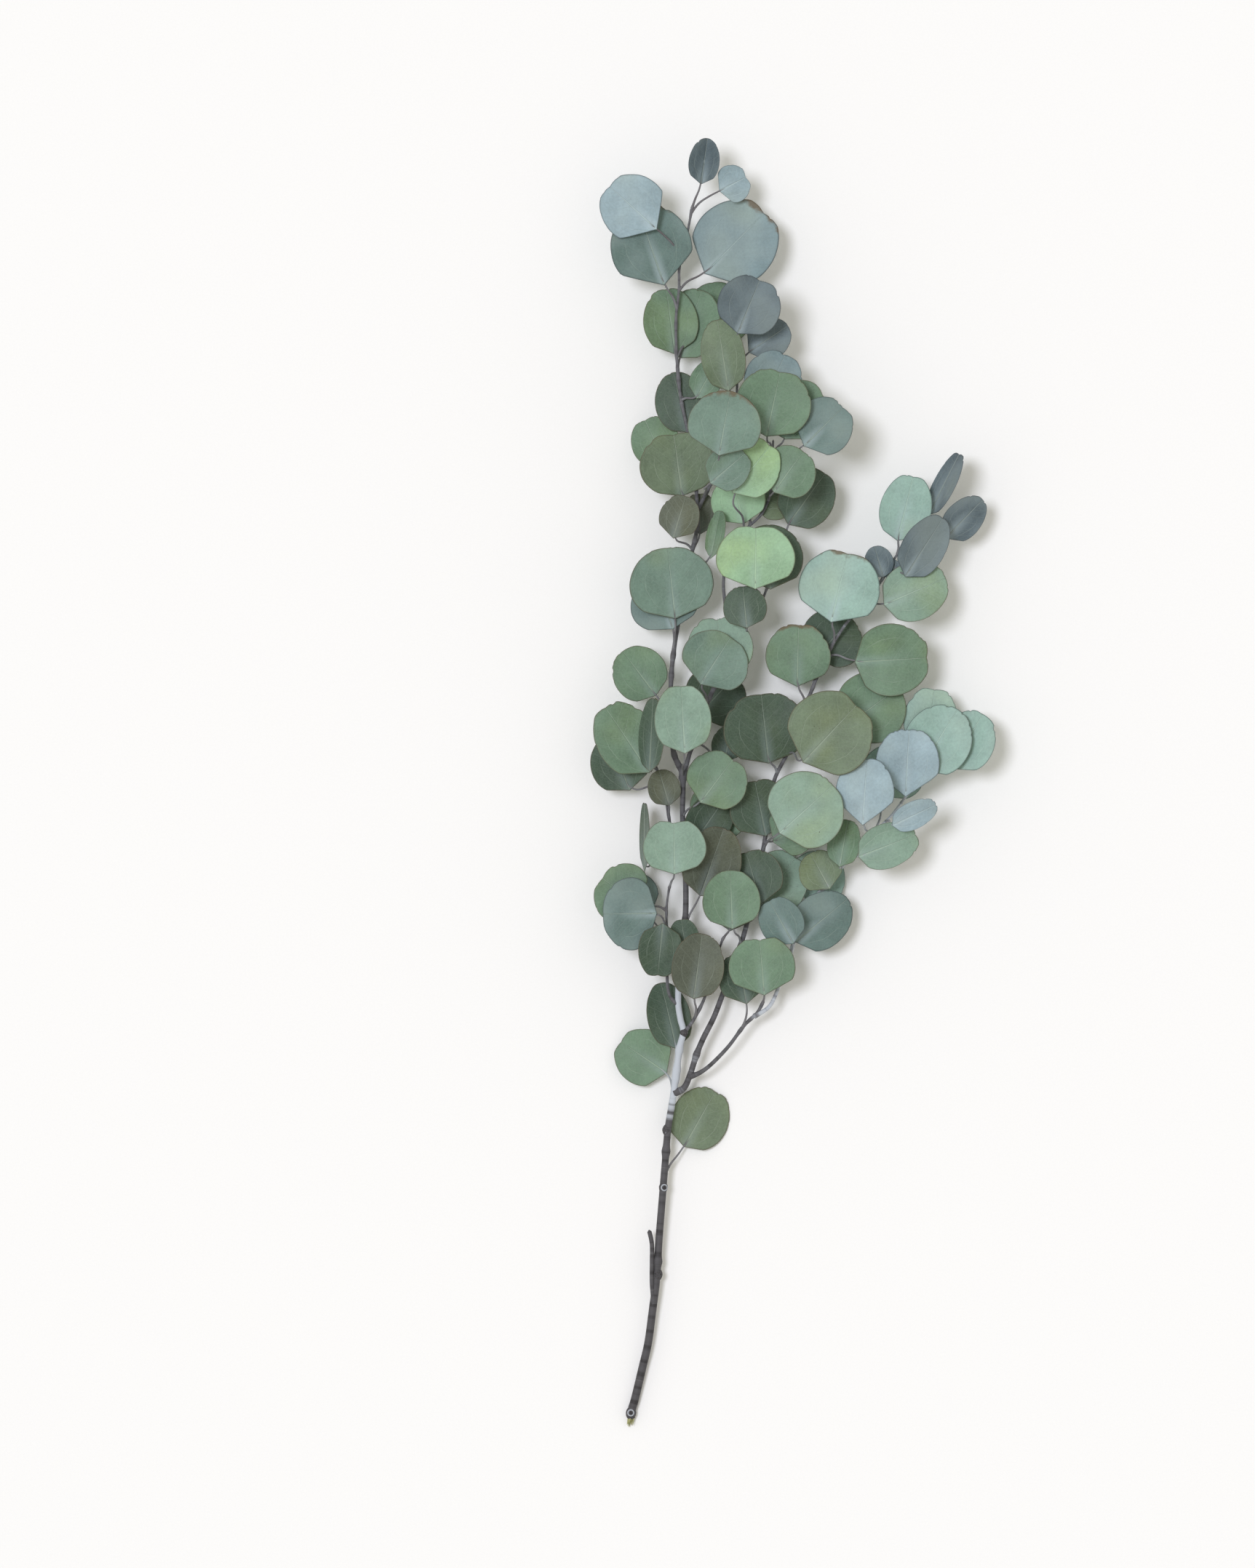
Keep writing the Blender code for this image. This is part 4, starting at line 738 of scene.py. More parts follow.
class Blade:
    """The form of one leaf's blade: where each of its points lies."""

    def __init__(self, leaf: LeafPlan, number: int) -> None:
        """Draws what the plan leaves open.

        Args:
            leaf: The leaf's plan.
            number: Its place in the table, which seeds what is drawn.
        """
        draw = random.Random(SEED + number)
        pitch = draw.uniform(*PITCH_RANGE)
        roll = draw.uniform(*ROLL_RANGE)
        self.leaf = leaf
        self.number = number
        self.cup = draw.uniform(*CUP_RANGE)
        self.wave = draw.uniform(*WAVE_RANGE)
        self.phase = draw.uniform(0.0, 2.0 * math.pi)
        notch = draw.uniform(*NOTCH_RANGE)
        self.notch = notch if leaf.notch is None else leaf.notch
        wedge = draw.uniform(*WEDGE_RANGE)
        self.wedge = wedge if leaf.wedge is None else leaf.wedge
        pitch = pitch if leaf.pitch is None else leaf.pitch
        roll = roll if leaf.roll is None else leaf.roll
        self.fold = math.tan(math.radians(leaf.fold))
        if leaf.layer == Lie.ON_SURFACE:
            self.cup = self.wave = 0.0
        self.base = place(*leaf.base)
        ahead = place(*leaf.tip) - self.base
        self.length = ahead.length
        self.half_width = 0.5 * leaf.width * PIXEL
        ahead.normalize()
        self.ahead = ahead + Vector((0, 0, math.tan(math.radians(pitch))))
        self.side = Vector((ahead.y, -ahead.x, math.tan(math.radians(roll))))
        self.normal = self.side.cross(self.ahead).normalized()
        self.floor = None

    def rise(self, reach: float, across: float) -> float:
        """How far the blade stands off its plane at a point, in metres."""
        spread = math.hypot(2 * reach - 1, across)
        bend = self.cup * (across * across - 0.35 * (2 * reach - 1) ** 2)
        ripple = self.wave * spread ** 2 * math.sin(3.0 * math.atan2(across, 2 * reach - 1) + self.phase)
        return (bend + ripple) * self.length + self.fold * abs(across) * self.half_width

    def point(self, reach: float, across: float) -> Vector:
        """The blade's point at a reach along it and across it."""
        spot = self.base + self.ahead * (reach * self.length) + self.side * (across * self.half_width)
        spot = spot + Vector((0, 0, 1)) * self.rise(reach, across)
        if self.floor is not None:
            spot.z = max(spot.z, self.floor + 0.5 * SOLID_THICKNESS)
        return spot

    def samples(self) -> np.ndarray:
        """Points spread over the blade, for keeping it clear of what lies above and below."""
        found = []
        for row in range(SAMPLES + 1):
            for column in range(SAMPLES + 1):
                reach = row / SAMPLES
                across = 2.0 * column / SAMPLES - 1.0
                if math.hypot(2.0 * reach - 1.0, across) <= 1.02:
                    found.append(self.point(reach, across))
        return np.array(found)


class HeightMap:
    """The highest and lowest occupied heights over each cell of the surface."""

    def __init__(self) -> None:
        """Starts with nothing there."""
        shape = (int(2 * GRID_HALF_X / CELL), int(2 * GRID_HALF_Y / CELL))
        self.top = np.zeros(shape)
        self.under = np.full(shape, NO_CEILING)

    def cells(self, points: np.ndarray) -> tuple:
        """The cells under these points."""
        columns = np.clip(((points[:, 0] + GRID_HALF_X) / CELL).astype(int), 0, self.top.shape[0] - 1)
        rows = np.clip(((points[:, 1] + GRID_HALF_Y) / CELL).astype(int), 0, self.top.shape[1] - 1)
        return columns, rows

    def add(self, points: np.ndarray, half_thickness: float) -> None:
        """Marks the cells under a piece as taken."""
        cells = self.cells(points)
        np.maximum.at(self.top, cells, points[:, 2] + half_thickness)
        np.minimum.at(self.under, cells, points[:, 2] - half_thickness)

    def above(self, points: np.ndarray) -> float:
        """How far the points must rise to lie on what is there."""
        return float(np.max(self.top[self.cells(points)] + LEAF_CLEARANCE - points[:, 2]))

    def below(self, points: np.ndarray) -> float:
        """How far the points may rise under what is there."""
        return float(np.min(self.under[self.cells(points)] - LEAF_CLEARANCE - points[:, 2]))


class Layout:
    """Where every stem, blade and leaf stalk of the branch lies."""

    def __init__(self) -> None:
        """Lays out the wood, and the leaves on it."""
        self.stems = {stem.name: stem for stem in STEMS}
        self.whole_routes = {}
        self.routes = {}
        for stem in STEMS:
            controls = [place(column, row, height * MILLIMETRE) for column, row, height in stem.points]
            route = smooth_route(controls, ROUTE_STEPS)
            self.whole_routes[stem.name] = route
            parent = self.stems.get(stem.parent)
            if parent and parent.node != stem.node:
                route = self.cut_back(route, stem, parent)
            self.routes[stem.name] = route
        self.blades = [Blade(leaf, number) for number, leaf in enumerate(LEAVES)]
        self.stalks = {}
        self.hang_leaves()

    def clearance(self, spot: Vector, stem: StemPlan, parent: StemPlan) -> float:
        """How far a stem whose middle is at this spot stands clear of its parent's bark."""
        gaps = [(other - spot).length for other in self.routes[parent.name]]
        share = gaps.index(min(gaps)) / (len(gaps) - 1)
        radii = stem_radius(stem, 0.0) + stem_radius(parent, share)
        return min(gaps) - FACET_SHARE * radii - PIECE_GAP

    def cut_back(self, route: list, stem: StemPlan, parent: StemPlan) -> list:
        """The stem's route, started where the stem first stands clear of its parent."""
        before = self.clearance(route[0], stem, parent)
        for step in range(1, len(route)):
            now = self.clearance(route[step], stem, parent)
            if now > 0.0:
                share = max(0.0, -before / (now - before))
                return [route[step - 1].lerp(route[step], share), *route[step:]]
            before = now
        return route

    def stalk(self, blade: Blade, root: Vector, ahead: Vector) -> list:
        """A leaf stalk's curve.

        Args:
            blade: The blade that it carries.
            root: The middle of the wood that it grows from.
            ahead: The wood's direction there.

        Returns:
            The stalk's points, the last one just inside the blade.
        """
        into = blade.point(0.09, 0.0)
        reach = (into - root).length
        along_blade = (blade.point(0.2, 0.0) - blade.point(0.0, 0.0)).normalized()
        start = root + ahead * reach * 0.22 + (into - root) * 0.18
        end = into - along_blade * reach * 0.38
        route = []
        for step in range(STALK_RINGS):
            t = step / (STALK_RINGS - 1)
            spot = (root * (1 - t) ** 3 + start * 3 * t * (1 - t) ** 2 + end * 3 * t * t * (1 - t)
                    + into * t ** 3)
            spot.z = max(spot.z, STALK_RADIUS)
            route.append(spot)
        return route

    def hang_leaves(self) -> None:
        """Places every blade: flat ones first, those under the wood next, then layer on layer."""
        heights = HeightMap()
        ceiling = HeightMap()
        for stem in STEMS:
            route = self.routes[stem.name]
            for index, spot in enumerate(route):
                radius = stem_radius(stem, index / (len(route) - 1))
                ring = np.array([(spot.x + radius * across, spot.y, spot.z) for across in (-1, 0, 1)])
                heights.add(ring, radius)
                ceiling.add(ring, radius)
        for blade in sorted(self.blades, key=lambda found: (found.leaf.layer, found.number)):
            leaf = blade.leaf
            route = self.routes[leaf.stem]
            share = nearest(route, place(*leaf.root))
            root = along(route, share)
            ahead = along(route, min(share + 0.02, 1.0)) - along(route, max(share - 0.02, 0.0))
            ahead.normalize()
            if leaf.layer == Lie.ON_SURFACE:
                blade.base.z = SURFACE_BASE
            elif leaf.layer == Lie.UNDER_WOOD:
                blade.base.z = min(ceiling.below(blade.samples()), root.z - BASE_STEP)
            else:
                blade.base.z = max(heights.above(blade.samples()), root.z + BASE_STEP)
            blade.floor = 0.0
            self.stalks[blade.number] = self.stalk(blade, root, ahead)
            for points, half in ((blade.samples(), 0.5 * SOLID_THICKNESS),
                                 (np.array(smooth_route(self.stalks[blade.number], 8)), STALK_RADIUS)):
                heights.add(points, half)
                if leaf.layer != Lie.ON_SURFACE:
                    ceiling.add(points, half)

    def blades_of(self, node: str) -> list:
        """The blades that a node carries."""
        return [blade for blade in self.blades if self.stems[blade.leaf.stem].node == node]


def linear(colour: tuple) -> tuple:
    """A colour from red, green and blue of 0 to 255 as light, with full alpha."""
    channels = [(value / 255.0) for value in colour]
    return (*[value / 12.92 if value <= 0.04045 else ((value + 0.055) / 1.055) ** 2.4
              for value in channels], 1.0)


@dataclass(frozen=True)
class Finish:
    """What every finish has: a name, its roughness and how strongly it mirrors."""

    name: str
    roughness: float = 0.6
    specular: float = 0.4

    def start(self) -> tuple:
        """Starts the material.

        Returns:
            The material, a maker for its tree, and its shader node.
        """
        material = bpy.data.materials.new(self.name)
        material.use_nodes = True
        maker = TreeMaker(material.node_tree)
        shader = material.node_tree.nodes["Principled BSDF"]
        shader.inputs["Roughness"].default_value = self.roughness
        shader.inputs["Specular IOR Level"].default_value = self.specular
        return material, maker, shader

    def attribute(self, maker: TreeMaker, name: str) -> bpy.types.Node:
        """A node that reads one of the piece's attributes."""
        return maker.node("ShaderNodeAttribute", attribute_name=name)

    def shape(self, maker: TreeMaker, shader: bpy.types.Node, height: Term) -> None:
        """Gives the surface a relief whose height is in metres."""
        bump = maker.node("ShaderNodeBump", {"Height": height, "Distance": 1.0, "Strength": 1.0})
        feed(maker.tree, shader.inputs["Normal"], bump.outputs["Normal"])


@dataclass(frozen=True)
class LeafFinish(Finish):
    """The waxy skin of the leaves, with veins, bloom, rim, freckles and browned tips.

    Lengths are in metres, and the scales of noise are per metre.
    """

    cloud_scale: float = 75.0
    cloud_depth: float = 0.34
    mottle_scale: float = 700.0
    mottle_depth: float = 0.26
    vein_count: float = 6.5
    vein_width: float = 0.00022
    vein_strength: float = 0.42
    basal_spread: float = 0.62
    rim_colour: tuple = (96, 84, 66)
    blue_rim_colour: tuple = (62, 66, 68)
    brown_colour: tuple = (104, 84, 58)
    freckle_colour: tuple = (62, 52, 42)
    bloom_colour: tuple = (182, 198, 203)
    freckle_scale: float = 330.0
    freckle_size: float = 0.00034

    def veins(self, maker: TreeMaker, places: tuple, sizes: tuple, wander: Term) -> tuple:
        """The veins' lines.

        Args:
            maker: Not used.
            places: How far across and along the blade, in metres, and how near its rim.
            sizes: The blade's half width and length.
            wander: How far the lines stray.

        Returns:
            The midrib and all the other veins, each from 0 to 1.
        """
        across, reach, ring = places
        half_width, length = sizes
        out = across.math("ABSOLUTE") + wander
        share = reach / length
        rib_width = share.ramp(0.0, 1.0, 0.00052, 0.00016)
        rib = 1.0 - across.math("ABSOLUTE").ramp(rib_width * 0.5, rib_width * 1.5)
        spacing = length / self.vein_count
        start = reach - out * 0.72 - out * out * 11.0 + across.math("SIGN") * spacing * 0.25
        line = start.math("PINGPONG", spacing * 0.5)
        side_veins = (1.0 - line.ramp(self.vein_width * 0.3, self.vein_width * 1.4)) * start.ramp(0.0, 0.002)
        loop = ((share * math.pi).math("SINE").math("MAXIMUM", 0.0) ** 0.8) * half_width * self.basal_spread
        basal = 1.0 - (out - loop).math("ABSOLUTE").ramp(self.vein_width * 0.5, self.vein_width * 1.6)
        basal = basal * share.ramp(0.45, 0.8, 1.0, 0.0)
        margin = 1.0 - (ring - 0.92).math("ABSOLUTE").ramp(0.004, 0.012)
        fine = (side_veins * 0.75).math("MAXIMUM", basal).math("MAXIMUM", margin * 0.5)
        return rib, fine

    def material(self) -> bpy.types.Material:
        """Builds the leaves' material."""
        material, maker, shader = self.start()
        spot = maker.node("ShaderNodeTexCoord").outputs["Object"]
        tone = Term(maker.tree, self.attribute(maker, "tone").outputs["Color"])
        places = maker.separate(self.attribute(maker, "blade").outputs["Vector"])
        half_width, length, seed = maker.separate(self.attribute(maker, "size").outputs["Vector"])
        freckled, browned, waxy = maker.separate(self.attribute(maker, "marks").outputs["Vector"])
        under = Term(maker.tree, self.attribute(maker, "face").outputs["Fac"]).ramp(-0.1, 0.1, 1.0, 0.0)
        across, reach, ring = places
        share = reach / length

        clouds = maker.noise(spot, self.cloud_scale, 3.0, seed)
        patches = maker.noise(spot, self.cloud_scale * 0.45, 1.0, seed + 3.0)
        mottles = maker.noise(spot, self.mottle_scale, 4.0, seed + 5.0)
        light = 1.0 + (clouds - 0.5) * self.cloud_depth * 2.0 + (mottles - 0.5) * self.mottle_depth * 2.0
        colour = tone.vector("SCALE", light)
        warm = colour.vector("MULTIPLY", (1.12, 1.03, 0.78))
        colour = maker.blend(patches.ramp(0.45, 0.75, 0.0, 0.7), colour, warm)

        halo = across.math("ABSOLUTE").ramp(0.0, 0.0055, 0.5, 0.0) * share.ramp(0.0, 0.9, 1.0, 0.0)
        smear = patches.ramp(0.35, 0.62) * waxy * 0.22
        bloom = (halo * (waxy * 0.6 + 0.4)).math("MAXIMUM", smear)
        colour = maker.blend(bloom, colour, linear(self.bloom_colour))

        wander = (maker.noise(spot, 160.0, 2.0, seed + 9.0) - 0.5) * 0.0022
        rib, fine = self.veins(maker, places, (half_width, length), wander)
        cells = maker.node("ShaderNodeTexVoronoi", {"Vector": spot, "Scale": 620.0},
                           feature="DISTANCE_TO_EDGE")
        net = Term(maker.tree, cells.outputs["Distance"]).ramp(0.0, 0.12, 0.35, 0.0)
        veins = fine.math("MAXIMUM", net)
        pale = maker.blend(0.30, tone.vector("SCALE", 1.35), (0.52, 0.58, 0.50, 1.0))
        colour = maker.blend(veins * self.vein_strength, colour, pale)
        colour = maker.blend(rib * (waxy * 0.25 + 0.6), colour, pale)

        rim = ring.ramp(0.955, 0.995)
        edge = maker.blend(waxy, linear(self.rim_colour), linear(self.blue_rim_colour))
        colour = maker.blend(rim * 0.55, colour, edge)
        worn = maker.noise(spot, 190.0, 3.0, seed + 13.0)
        tip = (share.ramp(0.55, 1.0) * 0.35 + ring.ramp(0.6, 1.0) * 0.35 + worn * 0.6).ramp(0.86, 1.02)
        colour = maker.blend(tip * browned * 0.8, colour, linear(self.brown_colour))
        freckles = maker.node("ShaderNodeTexVoronoi", {"Vector": spot, "Scale": self.freckle_scale})
        size = maker.separate(freckles.outputs["Color"])[0].ramp(0.72, 1.0, 0.0, 1.0)
        reach_of = Term(maker.tree, freckles.outputs["Distance"]) / self.freckle_scale
        dots = (1.0 - reach_of.ramp(self.freckle_size * 0.4, self.freckle_size * 1.2)) * size
        colour = maker.blend(dots * (freckled * 0.85 + 0.10), colour, linear(self.freckle_colour))
        faded = maker.blend(0.35, colour, (0.40, 0.46, 0.40, 1.0))
        colour = maker.blend(under * 0.8, colour, faded)

        feed(maker.tree, shader.inputs["Base Color"], colour)
        feed(maker.tree, shader.inputs["Roughness"],
             (self.roughness + (mottles - 0.5) * 0.25 + waxy * 0.08 - rib * 0.1))
        self.shape(maker, shader, clouds * 0.0011 + mottles * 0.00009 - rib * 0.00022 - fine * 0.00010)
        return material


@dataclass(frozen=True)
class BarkFinish(Finish):
    """The skin of the wood: smooth and grey when young, dark and ridged when old, with pale bloom."""

    young_colour: tuple = (112, 112, 116)
    old_colour: tuple = (74, 72, 74)
    ridge_colour: tuple = (44, 41, 42)
    fleck_colour: tuple = (150, 150, 148)
    bloom_colour: tuple = (198, 204, 212)
    scars: tuple = ()
    scar_radius: float = 0.0017

    def material(self) -> bpy.types.Material:
        """Builds the wood's material."""
        material, maker, shader = self.start()
        around = Term(maker.tree, self.attribute(maker, "around").outputs["Vector"])
        run, radius, age, bloom, seed = [
            Term(maker.tree, self.attribute(maker, name).outputs["Fac"])
            for name in ("run", "radius", "age", "bloom", "seed")]
        skin = around.vector("SCALE", radius).vector("ADD", maker.combine(0.0, 0.0, run * 0.16))
        streaks = maker.noise(skin, 1500.0, 4.0, seed)
        wide = maker.noise(skin, 420.0, 3.0, seed + 2.0)
        flakes = maker.noise(skin, 2600.0, 3.0, seed + 4.0)
        blotches = maker.noise(around.vector("SCALE", radius).vector(
            "ADD", maker.combine(0.0, 0.0, run)), 300.0, 3.0, seed + 6.0)

        colour = maker.blend(age, linear(self.young_colour), linear(self.old_colour))
        colour = colour.vector("SCALE", 0.62 + streaks * 0.8)
        colour = maker.blend(streaks.ramp(0.52, 0.36, 0.0, 0.8) * (age * 0.8 + 0.2), colour,
                             linear(self.ridge_colour))
        colour = maker.blend(flakes.ramp(0.60, 0.72) * age * 0.75, colour, linear(self.fleck_colour))
        powder = (bloom * 1.25 + (wide - 0.5) * 1.3 + (blotches - 0.5) * 1.1).ramp(0.42, 0.85)
        colour = maker.blend(powder * 0.9, colour, linear(self.bloom_colour))
        spot = maker.node("ShaderNodeTexCoord").outputs["Object"]
        flat = Term(maker.tree, spot).vector("MULTIPLY", (1.0, 1.0, 0.0))
        for x, y in self.scars:
            away = flat.vector("DISTANCE", (x, y, 0.0))
            ring = 1.0 - (away - self.scar_radius).math("ABSOLUTE").ramp(0.0001, 0.00055)
            colour = maker.blend(ring * 0.75, colour, linear(self.bloom_colour))
            heart = 1.0 - away.ramp(self.scar_radius * 0.35, self.scar_radius * 0.8)
            colour = maker.blend(heart * 0.8, colour, linear(self.ridge_colour))

        feed(maker.tree, shader.inputs["Base Color"], colour)
        feed(maker.tree, shader.inputs["Roughness"], self.roughness + powder * 0.15)
        self.shape(maker, shader, streaks * 0.0004 * (age + 0.3) + flakes * 0.00008)
        return material


@dataclass(frozen=True)
class StalkFinish(Finish):
    """The leaf stalks' skin, which turns into the leaf's own pale midrib."""

    dark_colour: tuple = (92, 86, 88)
    bloom_colour: tuple = (168, 174, 178)

    def material(self) -> bpy.types.Material:
        """Builds the stalks' material."""
        material, maker, shader = self.start()
        spot = maker.node("ShaderNodeTexCoord").outputs["Object"]
        tone = Term(maker.tree, self.attribute(maker, "tone").outputs["Color"])
        rib, bloom, seed = [Term(maker.tree, self.attribute(maker, name).outputs["Fac"])
                            for name in ("rib", "bloom", "seed")]
        grain = maker.noise(spot, 900.0, 3.0, seed)
        powder = maker.noise(spot, 150.0, 3.0, seed + 1.0)
        colour = maker.blend((bloom + (powder - 0.5) * 0.9).math("MAXIMUM", 0.0).math("MINIMUM", 1.0),
                             linear(self.dark_colour), linear(self.bloom_colour))
        pale = maker.blend(0.32, tone.vector("SCALE", 1.3), (0.50, 0.56, 0.48, 1.0))
        colour = maker.blend(rib, colour, pale).vector("SCALE", 0.8 + grain * 0.4)
        feed(maker.tree, shader.inputs["Base Color"], colour)
        self.shape(maker, shader, grain * 0.00012)
        return material


@dataclass(frozen=True)
class CutWoodFinish(Finish):
    """Torn greenish wood at the cut end."""

    green_colour: tuple = (150, 158, 104)
    torn_colour: tuple = (186, 176, 128)

    def material(self) -> bpy.types.Material:
        """Builds the cut wood's material."""
        material, maker, shader = self.start()
        around = Term(maker.tree, self.attribute(maker, "around").outputs["Vector"])
        run, radius, seed = [Term(maker.tree, self.attribute(maker, name).outputs["Fac"])
                             for name in ("run", "radius", "seed")]
        skin = around.vector("SCALE", radius).vector("ADD", maker.combine(0.0, 0.0, run * 0.1))
        fibres = maker.noise(skin, 3500.0, 3.0, seed)
        colour = maker.blend(fibres.ramp(0.3, 0.7), linear(self.green_colour), linear(self.torn_colour))
        feed(maker.tree, shader.inputs["Base Color"], colour.vector("SCALE", 0.7 + fibres * 0.5))
        self.shape(maker, shader, fibres * 0.0002)
        return material


@dataclass(frozen=True)
class SurfaceFinish(Finish):
    """The plain pale surface that the branch lies on."""

    colour: tuple = (247, 246, 244)
    grain_scale: float = 900.0

    def material(self) -> bpy.types.Material:
        """Builds the surface's material."""
        material, maker, shader = self.start()
        spot = maker.node("ShaderNodeTexCoord").outputs["Object"]
        grain = maker.noise(spot, self.grain_scale, 2.0)
        pale = maker.blend(grain, linear(self.colour), linear((252, 251, 250)))
        feed(maker.tree, shader.inputs["Base Color"], pale)
        return material


def leaf_template(rings: tuple, spokes: int) -> bpy.types.Object:
    """The disc that every blade is grown from, its two faces joined at the rim.

    Args:
        rings: How far out each ring lies, from the innermost to the rim at 1.
        spokes: How many points each ring has.

    Returns:
        The disc, with each point's turn, ring and face as attributes.
    """
    turns = [-math.pi + 2.0 * math.pi * (spoke + 1) / spokes for spoke in range(spokes)]
    rows = [(0.0, 0.0, 1.0), (0.0, 0.0, -1.0)]
    faces = []
    last = len(rings) - 1
    upper = []
    lower = []
    for index, ring in enumerate(rings):
        for side, ring_rows in ((1.0, upper), (-1.0, lower)):
            if index == last and side < 0.0:
                ring_rows.append(upper[-1])
                continue
            ring_rows.append(list(range(len(rows), len(rows) + spokes)))
            rows.extend((turn, ring, 0.0 if index == last else side) for turn in turns)
    for spoke in range(spokes):
        following = (spoke + 1) % spokes
        faces.append((0, upper[0][spoke], upper[0][following]))
        faces.append((1, lower[0][following], lower[0][spoke]))
        for sheet, outward in ((upper, True), (lower, False)):
            for inner, outer in zip(sheet, sheet[1:]):
                corners = (inner[spoke], outer[spoke], outer[following], inner[following])
                faces.append(corners if outward else tuple(reversed(corners)))
    data = bpy.data.meshes.new("leaf_disc")
    data.from_pydata([(0.0, 0.0, 0.0)] * len(rows), [], faces)
    for column, label in enumerate(("turn", "ring", "face")):
        values = [row[column] for row in rows]
        data.attributes.new(label, "FLOAT", "POINT").data.foreach_set("value", values)
    return bpy.data.objects.new("leaf_disc", data)


def leaf_tree() -> bpy.types.NodeTree:
    """The geometry tree that turns one point for each leaf into its finished blade."""
    make = GeometryMaker("Leaf blades", {
        "Disc": "NodeSocketObject", "Half thickness": "NodeSocketFloat", "Wobble": "NodeSocketFloat",
        "Bite": "NodeSocketFloat", "Ripple": "NodeSocketFloat", "Finish": "NodeSocketMaterial"})
    disc = make.node("GeometryNodeObjectInfo", {"Object": make.given("Disc")})
    spread = make.node("GeometryNodeInstanceOnPoints",
                       {"Points": make.given("Geometry"), "Instance": disc.outputs["Geometry"]})
    real = make.node("GeometryNodeRealizeInstances", {"Geometry": spread.outputs["Instances"]})
    turn, ring, face = make.read("turn"), make.read("ring"), make.read("face")
    half_width, length, seed = make.separate(make.read("size", "FLOAT_VECTOR"))
    cup, wave, phase = make.separate(make.read("bend", "FLOAT_VECTOR"))
    fold, notch, wedge = make.separate(make.read("outline", "FLOAT_VECTOR"))

    turned = turn.math("ABSOLUTE")
    near_tip = (1.0 - (math.pi - turned) / 0.5).math("MAXIMUM", 0.0)
    edge_reach = 0.5 - turn.math("COSINE") * 0.5 - notch * near_tip
    pinch = (turned / wedge).math("MINIMUM", 1.0) ** WEDGE_POWER
    edge_across = turn.math("SINE") * (1.0 + turn.math("COSINE") * 0.07) * pinch
    rim_spot = make.combine(edge_reach, edge_across)
    wobble = (make.noise(rim_spot, 2.3, 1.0, seed) - 0.5) * 2.0 * make.given("Wobble")
    scallop = make.noise(rim_spot, 6.5, 1.0, seed + 3.0).ramp(0.58, 0.72) * make.given("Bite")
    swell = 1.0 + wobble * edge_reach.ramp(0.08, 0.35) - scallop * edge_reach.ramp(0.45, 0.8)
    reach = (edge_reach - 0.5) * ring * swell + 0.5
    across = edge_across * ring * swell

    middle = reach * 2.0 - 1.0
    spread_out = (middle * middle + across * across).math("SQRT")
    bend = cup * (across * across - middle * middle * 0.35)
    swing = wave * spread_out * spread_out * (across.math("ARCTAN2", middle) * 3.0 + phase).math("SINE")
    rise = (bend + swing) * length + fold * across.math("ABSOLUTE") * half_width
    blade_spot = make.combine(reach, across)
    ripple = (make.noise(blade_spot, 4.0, 2.0, seed + 7.0) - 0.5) * make.given("Ripple") * ring
    lift = face * make.given("Half thickness") * (1.0 - ring ** 6.0 * 0.45)

    run = make.read("ahead", "FLOAT_VECTOR").vector("SCALE", reach * length)
    out = make.read("side", "FLOAT_VECTOR").vector("SCALE", across * half_width)
    proud = make.read("normal", "FLOAT_VECTOR").vector("SCALE", lift)
    start = Term(make.tree, make.node("GeometryNodeInputPosition").outputs[0])
    spot = start.vector("ADD", run).vector("ADD", out).vector("ADD", proud)
    spot = spot.vector("ADD", make.combine(0.0, 0.0, rise + ripple))
    x, y, z = make.separate(spot)
    lying = make.combine(x, y, z.math("MAXIMUM", lift + make.given("Half thickness")))

    geometry = make.store(real.outputs["Geometry"], "blade",
                          make.combine(across * half_width, reach * length, ring), "FLOAT_VECTOR")
    moved = make.node("GeometryNodeSetPosition", {"Geometry": geometry, "Position": lying})
    return make.end(moved.outputs["Geometry"])


def tube_tree() -> bpy.types.NodeTree:
    """The geometry tree that gives thickness, ridges and a skin to stems, stalks and splinters."""
    make = GeometryMaker("Stems", {
        "Sides": "NodeSocketInt", "Ridge": "NodeSocketFloat", "Ridge scale": "NodeSocketFloat",
        "Finish": "NodeSocketMaterial"})
    line = make.node("GeometryNodeMeshToCurve", {"Mesh": make.given("Geometry")})
    circle = make.node("GeometryNodeCurvePrimitiveCircle", {"Resolution": make.given("Sides"),
                                                            "Radius": 1.0})
    spoke = make.node("GeometryNodeInputPosition").outputs[0]
    profile = make.store(circle.outputs["Curve"], "around", spoke, "FLOAT_VECTOR")
    radius = make.read("radius")
    tube = make.node("GeometryNodeCurveToMesh", {"Curve": line.outputs["Curve"], "Profile Curve": profile,
                                                 "Scale": radius, "Fill Caps": True})
    skin = make.read("around", "FLOAT_VECTOR").vector("SCALE", radius)
    skin = skin.vector("ADD", make.combine(0.0, 0.0, make.read("run") * 0.2))
    ridge = make.noise(skin, make.given("Ridge scale"), 2.0, make.read("seed")) - 0.5
    normal = Term(make.tree, make.node("GeometryNodeInputNormal").outputs[0])
    offset = normal.vector("SCALE", ridge * radius * make.given("Ridge") * make.read("age"))
    moved = make.node("GeometryNodeSetPosition", {"Geometry": tube.outputs["Mesh"], "Offset": offset})
    return make.end(moved.outputs["Geometry"])


